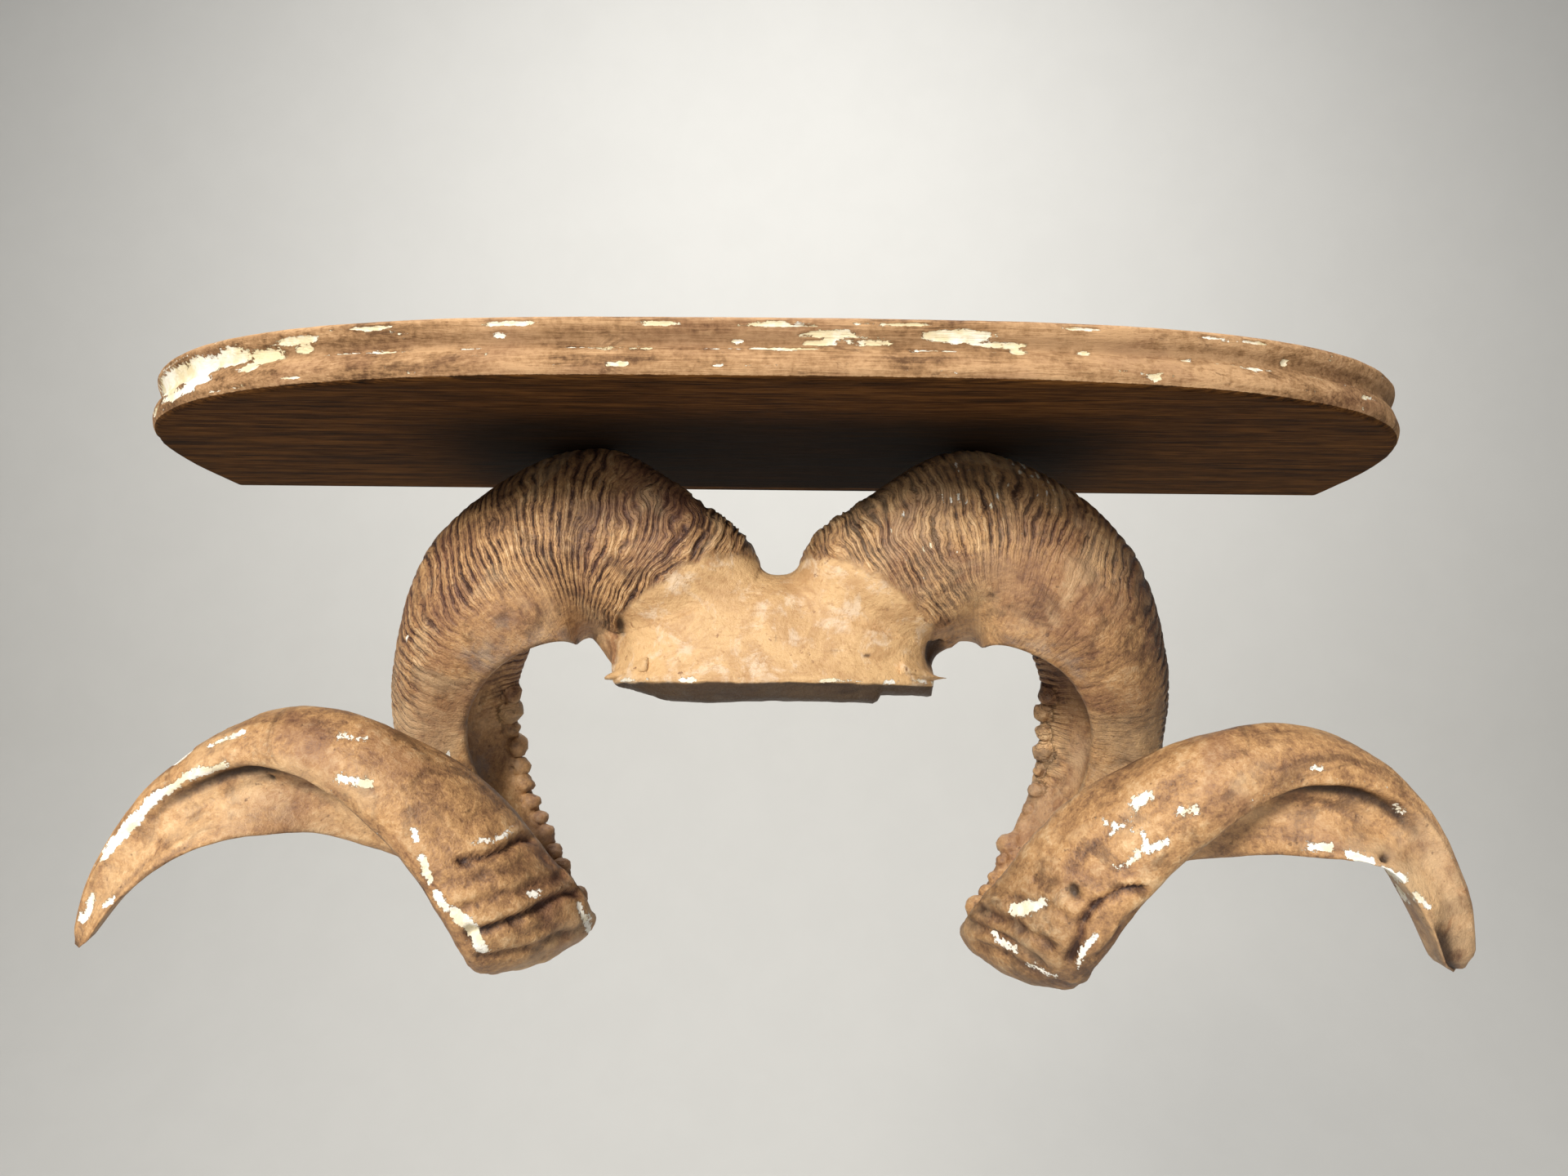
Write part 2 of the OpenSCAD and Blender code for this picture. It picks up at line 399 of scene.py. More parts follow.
def round_distance(v, place):
    """Distance round the outline from a place on it."""
    d = np.abs(v - place) % OUTLINE_POINTS
    return np.minimum(d, OUTLINE_POINTS - d)


# ---------------------------------------------------------------- the casting's relief

# Deep folds on the front of each lowest turn: a line of (x, z) points, depth and width,
# all in millimetres.
FOLDS = [
    ([(-129, -191), (-118, -187.5), (-103, -182)], 3.4, 1.7),
    ([(-131, -199), (-110, -194), (-98, -190)], 0.8, 3.2),
    ([(-128, -209), (-108, -203.5), (-86, -197)], 1.7, 2.4),
    ([(-124, -220), (-108, -215), (-95, -209.5), (-80, -206)], 3.8, 2.0),
    ([(-122, -231), (-100, -229), (-78, -220)], 2.2, 1.9),
    ([(-140, -178), (-128, -176), (-118, -170)], 0.9, 2.6),
    ([(150, -197.5), (141, -198), (133, -202), (125, -212), (122.5, -229)], 3.6, 1.6),
    ([(86, -211), (100, -214), (116, -222)], 2.2, 1.9),
    ([(84, -219), (98, -222), (112, -232)], 2.4, 1.9),
    ([(92, -203), (106, -206), (120, -209)], 1.4, 2.2),
    ([(90, -228), (102, -231), (112, -238)], 1.8, 1.8),
    ([(133, -226), (142, -213), (153, -203)], 1.5, 2.0),
    ([(110, -196), (122, -199), (131, -203)], 1.0, 2.6)]

# Chips in the paint, down to the plaster: side (1 is the right), place along, place round,
# length along in stations, width round in outline points.
CHIPS = [
    (0, 13.1, 3.4, 0.10, 0.08), (0, 11.2, 2.9, 0.16, 0.08), (0, 9.9, 3.6, 0.05, 0.2),
    (0, 8.2, 8.8, 0.12, 0.10), (0, 15.3, 1.3, 0.10, 0.25), (0, 5.6, 7.6, 0.12, 0.12),
    (0, 5.15, 7.2, 0.09, 0.10), (0, 3.75, 8.9, 0.06, 0.06), (0, 5.3, 8.6, 0.05, 0.07),
    (1, 5.9, 7.4, 0.12, 0.10), (1, 11.7, 2.9, 0.08, 0.12), (1, 14.2, 3.6, 0.12, 0.2)]

# Scrapes on the front of each arm and lowest turn: a line of (x, z) points and half its
# width, all in millimetres. Flecks come off round each one.
SCRAPES = [
    ([(-283, -191), (-269, -175)], 3.0), ([(-270, -176), (-259, -166)], 2.4),
    ([(-259, -166), (-246, -157), (-229, -152)], 1.6), ([(-257, -151), (-250, -146)], 1.8),
    ([(-239, -145), (-223, -139)], 0.9), ([(-178, -157), (-165, -159)], 1.4),
    ([(-292, -218), (-287, -209)], 1.8), ([(-280, -213), (-275, -208)], 1.3),
    ([(-148, -179), (-146, -183)], 1.4), ([(-143, -190), (-140, -199)], 1.7),
    ([(-137, -204), (-133, -209)], 1.7), ([(-130, -212), (-124, -217), (-119, -226)], 3.0),
    ([(-103, -205), (-100, -206)], 1.2), ([(-85, -212), (-83, -218), (-83, -226)], 0.9),
    ([(-125, -184), (-113, -181)], 0.9), ([(-182, -141), (-170, -142)], 0.8),
    ([(146, -163), (152, -161)], 1.9), ([(161, -165), (168, -166)], 1.5),
    ([(148, -181), (157, -177)], 1.4), ([(140, -189), (147, -183)], 1.0),
    ([(214, -179), (221, -179)], 1.3), ([(228, -181), (235, -184)], 2.1),
    ([(240, -187), (248, -191)], 1.8), ([(253, -197), (258, -201)], 1.5),
    ([(103, -210), (112, -205)], 2.2), ([(94, -222), (98, -226), (103, -228)], 0.9),
    ([(109, -234), (118, -236)], 0.9), ([(125, -234), (126, -224), (130, -215)], 0.9),
    ([(213, -148), (216, -149)], 1.2), ([(249, -163), (251, -166)], 1.3),
    ([(133, -169), (150, -177)], 0.7), ([(137, -176), (145, -168)], 0.6)]

# Small pits: side, place along, place round, and size in stations.
PITS = [(1, 13.7, 7.3, 0.09), (0, 12.5, 8.2, 0.05), (1, 9.6, 1.7, 0.05)]


def line_distance(q, line):
    """Distance of points from a line of points, and their height above it, in a plane."""
    best, above = np.full(len(q), 1e9), np.zeros(len(q))
    for a, b in zip(line, line[1:]):
        d = b - a
        share = np.clip((q - a) @ d / (d @ d), 0, 1)
        gap = q - a - share[:, None] * d
        far = np.linalg.norm(gap, axis=1)
        above = np.where(far < best, gap[:, 1], above)
        best = np.minimum(best, far)
    return best, above


# Bands of grey bloom, partly dust and partly painted sheen, and bands of painted shade: amount
# on the left horn and on the right, stations where a band starts and stops, softness, middle
# place round and width.
BLOOM_AND_SHEEN = [(1, 1, 1.2, 8.0, 1.6, 5.3, 0.9), (0.7, 0.7, 1.6, 4.2, 1.2, 7.0, 0.9),
         (0.34, 0.34, 2.2, 4.6, 1.0, 6.9, 0.5)]
SHADE_BANDS = [(0.55, 0.55, 0, 3, 1, 6.2, 0.5), (0.1, 0.26, 2.4, 4.6, 1.2, 1.5, 2.5)]
RIDGE_PITCH = 2.9
FINE_RIDGE_PITCH = 1.35


def bands(t, v, rows, right):
    """Sum of soft bands on a horn."""
    total = 0
    for left_share, right_share, start, stop, soft, middle, width in rows:
        share = right_share if right else left_share
        total = total + share * between(t, start, stop, soft) * bell(v, middle, width)
    return total


def saw(phase):
    """Falls from 1 at whole numbers to 0 halfway between them."""
    return np.abs(phase % 1 - 0.5) * 2


def on_side(line, right):
    return (line[0][0] > 0) == bool(right)


def growth_ridges(p, t, v, length, outer, burr, right, seed):
    """The ridges' count along, height between grooves, strength, and the two depths of groove."""
    wander = noise(p, 30, seed + 5) * 4 + noise(p, 9, seed + 6) * 1.1
    wander = wander + burr * (noise(p, 12, seed + 4) * 3.2 + noise(p, 5, seed + 19) * 1.5)
    phase = (length + wander) / (RIDGE_PITCH - 0.45 * (1 - right) + 0.5 * ease((t - 2.5) / 2))
    row = np.round(phase)
    valley = np.abs(phase - row) * 2
    depth = 0.62 + 0.42 * noise(np.stack([row * 1.7, v * 1.3, t * 0], -1), 1, seed + 9)
    depth = depth + 0.22 * noise(p, 16, seed + 8)
    ridged = between(t, 0.2, 4.9 + 0.7 * right, 1.4) * (0.16 + 0.84 * outer)
    grooves = -(1 - ease(valley / 0.62)) * ridged * np.clip(depth, 0.05, 1.3)
    fine = -(1 - ease(saw((length + wander * 1.2) / FINE_RIDGE_PITCH) / 0.7)) * ridged
    fine = fine * np.clip(0.5 + noise(p, 12, seed + 10), 0, 1)
    crossed = ridged * np.clip(0.35 + depth, 0, 1.2)
    return phase, valley, wander, ridged, crossed, grooves, fine


def fold_relief(waved, facing, right):
    """The deep folds of a lowest turn, each with a swollen lip below it."""
    folds = 0
    for line, depth, width in FOLDS:
        if on_side(line, right):
            away, above = line_distance(waved, np.array(line, float))
            lip = bell(above, 3.2, 2.4) * bell(away, 0, 6)
            folds = folds - depth * (bell(away, 0, width) - 0.4 * lip) * facing
    return folds


def horn_chips(p, waved, ahead, t, v, valley, right):
    """1 where a horn's paint is off, from 0 where it is whole; on the right horn's whitish crests
    it is partly bare plaster and partly painted highlight.
    """
    chips = np.zeros_like(t)
    ragged = 0.6 * cloud(p, 9, 2, 90 + right)
    for side, place, around, long, wide in CHIPS:
        if side == right:
            d = ((t - place) / long) ** 2 + (round_distance(v, around) / wide) ** 2
            chips = np.maximum(chips, 1.15 - d + ragged)
    seen = ease((ahead + 0.5) / 0.25) * ease((t - 7.5) / 0.4)
    for line, wide in SCRAPES:
        if on_side(line, right):
            away = line_distance(waved, np.array(line, float))[0]
            bare = np.clip(0.5 + (wide - away) / 3 + 0.3 * ragged, 0, 1)
            flecks = 0.34 * bell(away, 0, wide + 1.8)
            chips = np.maximum(chips, np.maximum(bare, flecks) * seen)
    keel = 0.2 * bell(round_distance(v, 0), 0, 0.35) * ease(t - 7.5)
    # Whitish ridge crests on the right horn, in plaster white: partly bare plaster, partly painted
    # highlight
    strokes = (between(t, 1.3, 2.5, 0.6) * bell(v, 1.3, 1.0)
               + between(t, 3.6, 5.6, 0.8) * bell(v, 1.0, 1.1))
    crests = ease(valley * 2.2 - 1.2) * ease((0.25 + noise(p, 9, 95)) / 0.4)
    chips = np.maximum(np.maximum(chips, keel), 0.95 * right * strokes * crests)
    return np.clip(chips, 0, 1)


def horn_fields(p, ahead, t, v, length, right):
    """Relief of a horn's surface in millimetres at its points, and the shades that go with it."""
    seed, left = 40 + 50 * right, 1 - right
    lumps = cloud(p, 34, 2, seed)
    small = cloud(p, 11, 3, seed + 3)
    face_v = np.where(v > KEEL_INSIDE, v - OUTLINE_POINTS, v)
    outer = between(face_v, -0.15 - 0.8 * left, 4.5, 0.7)
    burr = 1 - ease((t - 0.9 - 0.3 * left - 0.25 * noise(p, 13, seed + 7)) / 0.7)
    phase, valley, wander, ridged, crossed, grooves, fine = growth_ridges(
        p, t, v, length, outer, burr, right, seed)

    wrinkle_at = np.stack([(length + 0.4 * wander) / RIDGE_PITCH, v * 1.5, t * 0], -1)
    wrinkle_at = wrinkle_at + 0.312 * noise3(p, 8, seed + 21)
    wrinkles = (1 - np.abs(noise(wrinkle_at, 1, seed + 24)) * 3.0) * burr * ease((t + 0.2) / 0.5)
    slanted = between(t, 4.6, 7.6, 1.4) * (0.25 + 0.75 * outer)
    slanted = slanted * np.clip(0.5 + noise(p, 24, seed + 30), 0, 1)
    lines = saw((length * 0.9 + v * 12 + noise(p, 18, seed + 31) * 6) / 6.5)
    slants = -(1 - ease(lines / 0.25)) * slanted

    waved = (p + 1.6 * noise3(p, 9, seed + 33))[:, [0, 2]]
    folds = fold_relief(waved, ease((0.15 + ahead) / 0.5) * ease((t - 7) / 0.6), right)
    crumple = cloud(p, (9, 9, 6), 3, seed + 32) * between(t, 7.4, 9.3 + 0.8 * right, 0.8) * outer
    grain_at = np.stack([length / 60, v * 3.4 + 0.03 * length, t * 0], -1)
    grain = cloud(grain_at, 1, 4, seed + 35) * ease((t - 6.5) / 3)
    crease = between(t, 9.6, 13.8, 2.0) * bell(v, 8.55 - 0.1 * ease((t - 12) / 3), 0.18)
    step = between(t, 9.0, 15.0, 1.5) * bell(v, 8.86, 0.14)
    rough = ease((t - 5) / 3)
    height = (1.0 * lumps + (0.35 + 0.25 * rough) * small + (0.7 + 0.25 * right) * grooves
              + 0.16 * fine + 0.62 * wrinkles + 0.25 * slants + folds + 0.8 * crumple
              + 0.45 * grain - 2.8 * crease + 0.8 * step)
    relief = (1.1 * grooves + 0.45 * fine + 0.75 * wrinkles + 0.55 * slants + 0.5 * folds
              + 0.7 * crumple + 0.35 * small + 0.6 * grain - 1.0 * crease)

    # Grey bloom: partly dust, partly painted sheen
    dust_and_sheen = bands(t, v, BLOOM_AND_SHEEN, right) + 0.26 * right * between(t, 7.6, 10, 1) * outer
    dust_and_sheen = dust_and_sheen * np.clip(0.8 + 0.9 * noise(p, 20, seed + 37), 0, 1.2)
    dust_and_sheen = dust_and_sheen * (1 - 0.45 * right * ease((7.4 - t) / 0.5))
    # Pale ridge crests: partly dust, partly painted highlight
    pale = ridged * ease(valley * 1.6 - 0.75) * ease((noise(p, 15, seed + 38) - 0.25) / 0.4)
    dust_and_sheen = np.maximum(dust_and_sheen, 0.75 * pale)
    # Painted shade: darker along the crease under the outer face's roll, and on bands by the base
    # and on the outer face
    painted_shade = bands(t, v, SHADE_BANDS, right) + crease
    # Painted shade on the lowest turn's outer face, and on the outer sides, more on the right horn
    painted_shade = painted_shade + (0.3 + 0.15 * right) * between(t, 7.6, 9.6, 1.0) * outer
    outside = between(t, 2.8, 6.6, 1.4) * ease((np.abs(p[:, 0]) - 122) / 40)
    painted_shade = painted_shade + (0.16 + 0.26 * right) * outside
    rub = 0.95 * left * between(t, 4.2, 6.8, 1.2) * bell(round_distance(v, 0.3), 0, 2.4)
    rub = rub + right * (0.35 * between(t, 0.6, 2.2, 1) + 0.5 * between(t, 4.8, 6.4, 1)
                         + 0.6 * ease((t - 13) / 1.6))
    rub = rub + (0.55 - 0.45 * right) * between(t, 10.2, 15.8, 1.5) * bell(v, 7.9, 1.0)
    chips = horn_chips(p, waved, ahead, t, v, valley, right)
    for side, place, around, size in PITS:
        if side == right:
            hole = bell(np.hypot(t - place, round_distance(v, around) * 0.5), 0, size)
            height = height - 2.5 * hole
            # Painted shade in the pits
            painted_shade = painted_shade + 1.2 * hole
    # Painted shade in the hollow of the right horn's broken tip
    scoop = right * ease((t - 14.75) / 0.5) * bell(v, 7.1, 0.75)
    painted_shade = painted_shade + 0.95 * scoop
    taper = 0.2 + 0.8 * ease((LAST - t) / 2.5)
    calm = 1 - 0.8 * bell(round_distance(v, KEEL_INSIDE), 0, 1.2) * between(t, 0.6, 3.2, 1)
    height = height * taper * calm - 0.5 * ease((chips - 0.35) / 0.3) - 1.6 * scoop
    return height, {"relief": relief, "dust_and_sheen": dust_and_sheen, "dark": painted_shade, "chip": chips,
                    "phase": phase, "ridged": crossed, "rub": rub}


# Pits in the skull cap: depth share, place out from the middle, height, squash and size
CAP_PITS = [(1.0, 73, -101, 0.8, 6), (0.9, -68, -91, 0.9, 3.6), (0.6, -63, -83, 1.0, 2.6)]


def cap_fields(p):
    """Relief of the skull cap's surface in millimetres, and the shades that go with it."""
    x, y, z = p.T
    low = UNDER - CAP_BOTTOM
    front = ease((-76 - y) / 8)
    sawn = ease((low - 0.4 - z) / 0.6)
    lumps = 0.9 * cloud(p, 24, 3, 11) + 0.22 * cloud(p, 5, 4, 12)
    bulges = 2.6 * (bell(x, -42, 22) + bell(x, 44, 24)) * bell(z, -92, 18)
    bulges = bulges - 1.2 * bell(x, 2, 22)
    streaks = cloud(p, (26, 4, 2.6), 3, 13) * sawn
    pits = sum(deep * bell(np.hypot(x - out, (z - high) * squash), 0, size)
               for deep, out, high, squash, size in CAP_PITS)
    crack_line = -105 + 0.22 * (38 - x) + 1.4 * noise(p, 9, 15)
    crack = between(x, 14, 42, 4) * bell(z, crack_line, 0.55) * (0.6 + 0.6 * noise(p, 4, 19))
    nick = 0.9 * between(z, -103, -96, 2) * bell(x, 0.5 + noise(p, 5, 18), 0.45)
    crack = (crack + nick) * front
    rim = bell(z, low + 0.7, 0.9) * front
    height = bulges * front + lumps + 0.8 * streaks - 6 * pits - 0.45 * crack
    chip = 1.3 * rim * (0.45 + 0.9 * noise(p, (7, 4, 4), 16))
    fields = {name: np.zeros_like(x) for name in ("dust_and_sheen", "phase", "ridged", "rub")}
    fields["relief"] = 0.5 * cloud(p, 8, 4, 17) + 1.1 * streaks - 0.9 * crack
    # Painted shade on the sawn face, which faces down, and in the pits and the crack
    fields["dark"] = 1.0 * sawn + 1.3 * pits + 0.8 * crack
    fields["chip"] = np.clip(chip, 0, 1)
    return height, fields


def bone_share(p):
    """1 on the bare bone of the cap, 0 on the horns, with a ragged line between."""
    x, y, z = p.T
    beside = np.maximum(np.abs(x) - 12, 0)
    wander = 2.8 * cloud(p, 12, 3, 20) + 2.6 * cloud(p, 5, 2, 21)
    line = -60 - 0.0092 * beside ** 2 + wander * np.minimum(beside / 14, 1)
    behind = ease((-y - 52) / 10)
    flange = ease((-106 - z) / 3) * ease((82 - np.abs(x)) / 4)
    ends = np.maximum(ease((72 - np.abs(x)) / 5), flange)
    return ease((line - z) / 9 + 0.5) * behind * ends


def mend_seams(edges, co, values):
    """Gives points made by the joining, off the cap, the values of a neighbour."""
    source = values[-1]
    off_cap = np.abs(co[:, 0]) > CAP_LOBE + 1
    off_cap |= co[:, 2] < UNDER - CAP_BOTTOM - CAP_SAW - 3
    lost = (source < 0.5) & off_cap
    for _ in range(4):
        for a, b in (edges.T, edges.T[::-1]):
            taken = lost[a] & ~lost[b]
            for field in values:
                field[a[taken]] = field[b[taken]]
        lost &= source < 0.5


def smooth_joints(co, edges, joined, reach, passes, hold):
    """Rounds off the inside corners where joined solids meet, less where hold is near 1."""
    a, b = edges.T
    seam = np.unique(edges[joined[a] != joined[b]])
    if len(seam) == 0:
        return co
    tree = KDTree(len(seam))
    for i, at in enumerate(co[seam]):
        tree.insert(at, i)
    tree.balance()
    near = np.zeros(len(co))
    low, high = co[seam].min(0) - reach, co[seam].max(0) + reach
    inside = np.all((co > low) & (co < high), 1)
    for i in np.nonzero(inside)[0]:
        near[i] = 1 - min(tree.find(co[i])[2] / reach, 1)
    share = (ease(near) * 0.9 * (1 - hold))[:, None]
    count = np.bincount(a, minlength=len(co)) + np.bincount(b, minlength=len(co))
    for _ in range(passes):
        mean = np.stack([np.bincount(a, co[b, k], len(co)) + np.bincount(b, co[a, k], len(co))
                         for k in range(3)], -1) / count[:, None]
        co = co + (mean - co) * share
    return co


# What each point of the casting knows until it is finished: its place along and round a
# horn, its distance along, and its source.
PLACE_FIELDS = ("along", "round", "length", "source")
FROM_CAP, FROM_HORN, FROM_KNOB = 0.0, 1.0, 3.0


def make_horn(right, fine_step):
    """One smooth horn as a closed tube, which knows its place along and round."""
    grid, t, v, length = horn_grid(right, fine_step)
    if right == 0:
        grid = grid * MIRROR
    source = np.full_like(t, FROM_HORN + right)
    return tube_object("horn", grid, dict(zip(PLACE_FIELDS, (t, v, length, source))))


def cap_tube(name, grid):
    """A closed tube that belongs to the skull cap, and so has no place along a horn."""
    return tube_object(name, grid, dict.fromkeys(PLACE_FIELDS, np.full(grid.shape[:2], FROM_CAP)))


# Rounding of the joints, as reach in millimetres and passes: horns on the cap, knobs on a keel
CAP_JOINT = (13, 60)
KNOB_JOINT = (3.2, 7)


def finish_casting(casting):
    """Rounds the joints of the joined casting, then raises its relief and stores its shades."""
    mesh = casting.data
    co = read_points(mesh) / MM
    edges = np.zeros(len(mesh.edges) * 2, np.int64)
    mesh.edges.foreach_get("vertices", edges)
    edges = edges.reshape(-1, 2)
    t, v, length, source = (read_field(mesh, name) for name in PLACE_FIELDS)
    mend_seams(edges, co, (t, v, length, source))
    thin_keel = 0.95 * bell(round_distance(v, KEEL_INSIDE), 0, 1.3) * (source > 0.5)
    co = smooth_joints(co, edges, source > 0.5, *CAP_JOINT, thin_keel)
    co = smooth_joints(co, edges, source > 2.5, *KNOB_JOINT, 0)
    move_points(mesh, co * MM)
    normals = np.zeros(co.size, np.float32)
    mesh.vertex_normals.foreach_get("vector", normals)
    normals = normals.reshape(-1, 3)

    height, fields = cap_fields(co)
    bone = bone_share(co)
    for right in (0, 1):
        own = (source > 0.5) & ((co[:, 0] > 0) == bool(right))
        own_height, own_fields = horn_fields(co[own], -normals[own, 1], t[own], v[own],
                                             length[own], right)
        knob = ease(source[own] - 2)
        bumps = cloud(co[own], (7, 7, 4), 3, 70 + right)
        own_height = own_height * (1 - knob) + 1.9 * bumps * knob
        own_fields["relief"] = own_fields["relief"] * (1 - knob) + 0.9 * bumps * knob
        own_fields["dust_and_sheen"] = own_fields["dust_and_sheen"] * (1 - knob) + 0.45 * knob
        hide = 1 - 0.92 * ease((bone[own] - 0.25) / 0.6)
        height[own] = height[own] * 0.25 * (1 - hide) + own_height * hide
        for name in fields:
            share = 1.0 if name in ("chip", "phase") else hide
            fields[name][own] = fields[name][own] * (1 - hide) + own_fields[name] * share
    fields["bone"] = bone
    for name in PLACE_FIELDS:
        mesh.attributes.remove(mesh.attributes[name])
    for name, values in fields.items():
        store_field(mesh, name, values)
    move_points(mesh, (co + normals * height[:, None]) * MM)


# ---------------------------------------------------------------- knobs along the back keel

KNOB_VARY = 0.38
# How far the knobs' middles sit inside the keel, and how far they wander, in millimetres
KNOB_SUNK = 3.8
KNOB_WANDER = 1.8


def knob_tree(material):
    """Geometry Nodes that set knobs along a keel's line, and its inputs' identifiers."""
    tree = bpy.data.node_groups.new("knob_row", "GeometryNodeTree")
    sockets = {}
    for name, kind in (("Geometry", "Geometry"), ("Count", "Int"), ("Knob size", "Float"),
                       ("Size variation", "Float"), ("Seed", "Int")):
        socket = tree.interface.new_socket(name, in_out="INPUT", socket_type="NodeSocket" + kind)
        sockets[name] = socket.identifier
    tree.interface.new_socket("Geometry", in_out="OUTPUT", socket_type="NodeSocketGeometry")
    made = {name: tree.nodes.new(kind) for name, kind in {
        "start": "NodeGroupInput", "end": "NodeGroupOutput",
        "points": "GeometryNodeCurveToPoints", "knob": "GeometryNodeMeshIcoSphere",
        "least": "ShaderNodeMath", "most": "ShaderNodeMath", "scale": "ShaderNodeMath",
        "random": "FunctionNodeRandomValue", "turn": "FunctionNodeRandomValue",
        "place": "GeometryNodeInstanceOnPoints", "real": "GeometryNodeRealizeInstances",
        "coat": "GeometryNodeSetMaterial"}.items()}
    made["points"].mode = "COUNT"
    made["knob"].inputs["Subdivisions"].default_value = 3
    made["knob"].inputs["Radius"].default_value = 0.5
    for name, operation in (("least", "SUBTRACT"), ("most", "ADD"), ("scale", "MULTIPLY")):
        made[name].operation = operation
    made["least"].inputs[0].default_value = made["most"].inputs[0].default_value = 1.0
    made["random"].data_type = "FLOAT"
    made["turn"].data_type = "FLOAT_VECTOR"
    made["turn"].inputs[1].default_value = (math.tau, math.tau, math.tau)
    made["coat"].inputs["Material"].default_value = material
    for source, output, target, socket in (
            ("start", "Size variation", "least", 1), ("start", "Size variation", "most", 1),
            ("least", 0, "random", 2), ("most", 0, "random", 3),
            ("start", "Seed", "random", "Seed"), ("start", "Seed", "turn", "Seed"),
            ("random", 1, "scale", 0), ("start", "Knob size", "scale", 1),
            ("start", "Geometry", "points", "Curve"), ("start", "Count", "points", "Count"),
            ("points", "Points", "place", "Points"), ("knob", "Mesh", "place", "Instance"),
            ("turn", 0, "place", "Rotation"), ("scale", 0, "place", "Scale"),
            ("place", 0, "real", 0), ("real", 0, "coat", 0), ("coat", 0, "end", 0)):
        tree.links.new(made[source].outputs[output], made[target].inputs[socket])
    return tree, sockets


def make_knobs(right, sizes, tree, sockets):
    """The ragged row of knobs along a horn's back keel, as one mesh object."""
    t = np.linspace(4.6, 7.45, 24)
    line = centre_line(t, right)
    e1, e2 = across(t, right)
    line = line + e1 * (spline(STATIONS, t)[:, 3:4] / 2 - KNOB_SUNK) - e2
    line = line + KNOB_WANDER * noise3(line, 9, 60 + right)
    if right == 0:
        line = line * MIRROR
    curve = bpy.data.curves.new("keel_line", "CURVE")
    curve.dimensions = "3D"
    path = curve.splines.new("POLY")
    path.points.add(len(line) - 1)
    for point, place in zip(path.points, line * MM):
        point.co = (*place, 1)
    obj = bpy.data.objects.new("keel_knobs", curve)
    bpy.context.scene.collection.objects.link(obj)
    modifier = obj.modifiers.new("knobs", "NODES")
    modifier.node_group = tree
    for name, value in (("Count", sizes.knob_count), ("Knob size", sizes.knob_size),
                        ("Size variation", KNOB_VARY), ("Seed", 5 + right)):
        modifier[sockets[name]] = value
    depsgraph = bpy.context.evaluated_depsgraph_get()
    mesh = bpy.data.meshes.new_from_object(obj.evaluated_get(depsgraph), depsgraph=depsgraph)
    bpy.data.objects.remove(obj)
    away = np.linalg.norm(read_points(mesh)[:, None] / MM - line, axis=-1)
    along = t[np.argmin(away, axis=1)]
    same = np.ones_like(along)
    for name, values in zip(PLACE_FIELDS, (along, same * KEEL_BACK, along * 30, same * FROM_KNOB)):
        store_field(mesh, name, values)
    knobs = bpy.data.objects.new("keel_knobs", mesh)
    bpy.context.scene.collection.objects.link(knobs)
    return knobs


# ---------------------------------------------------------------- the skull cap

# Below the shelf's underside, out from the wall, the sawn edge's thickness, and widths: all
# in millimetres. Lobes run from CAP_END to CAP_LOBE each side, inside the horns.
CAP_TOP = 54
CAP_BOTTOM = 104
CAP_FRONT = 119
CAP_SAW = 9
CAP_W = 154
CAP_LOBE = 92
CAP_END = 69
CAP_SLICES, CAP_POINTS = 124, 104
# The cut edge's thin pointed corners: side, reach out from the middle and rise to the point
CAP_CORNERS = [(-1, 74, 1.0), (1, 76, 2.4)]


def cap_outline(x):
    """Section of the skull cap at x: distance out from the wall, and height."""
    e = min(abs(x) / (CAP_W / 2), 1)
    front = CAP_FRONT - 24 * e ** 2.4 - 7 * ease((abs(x) - 58) / 14)
    top = UNDER - CAP_TOP + 22 * e ** 2.2
    low = UNDER - CAP_BOTTOM
    mid = top + (low - top) * 0.55
    saw = 1.5 + (CAP_SAW - 1.5) * ease((x + 74) / 34) - 4.0 * ease((x - 43) / 3)
    outline = np.array([
        [front, low], [front - 0.7, low + 1.2], [front - 4 - 4 * e, low + 12],
        [front - 7 - 4 * e, mid], [front - 12 - 4 * e, top - 12], [front - 18 - 4 * e, top - 5],
        [front - 25 - 4 * e, top - 1], [front - 36, top + 1],
        [62, top - 9], [48, mid], [50, low], [front - 30 + 8 * e, low - saw + 1],
        [front - 9, low - saw]])
    past = max(abs(x) - CAP_END, 0)
    under = low + 5 + 0.55 * past + 0.042 * past ** 2
    nose = front - 7 - 0.5 * past
    roof = -78 + 0.5 * past
    thick = roof - under
    thin = 1 - 0.55 * past / (CAP_LOBE - CAP_END)
    depths = nose - thin * np.array([4, 1, 0, 0, 1, 4, 12, 20, 27, 28, 26, 20, 12])
    heights = [0.03, 0.12, 0.25, 0.5, 0.91, 1, 1, 1, 0.91, 0.5, 0.15, 0.03, 0]
    lobe = np.stack([depths, under + thick * np.array(heights)], -1)
    return outline + (lobe - outline) * ease(past / 4)


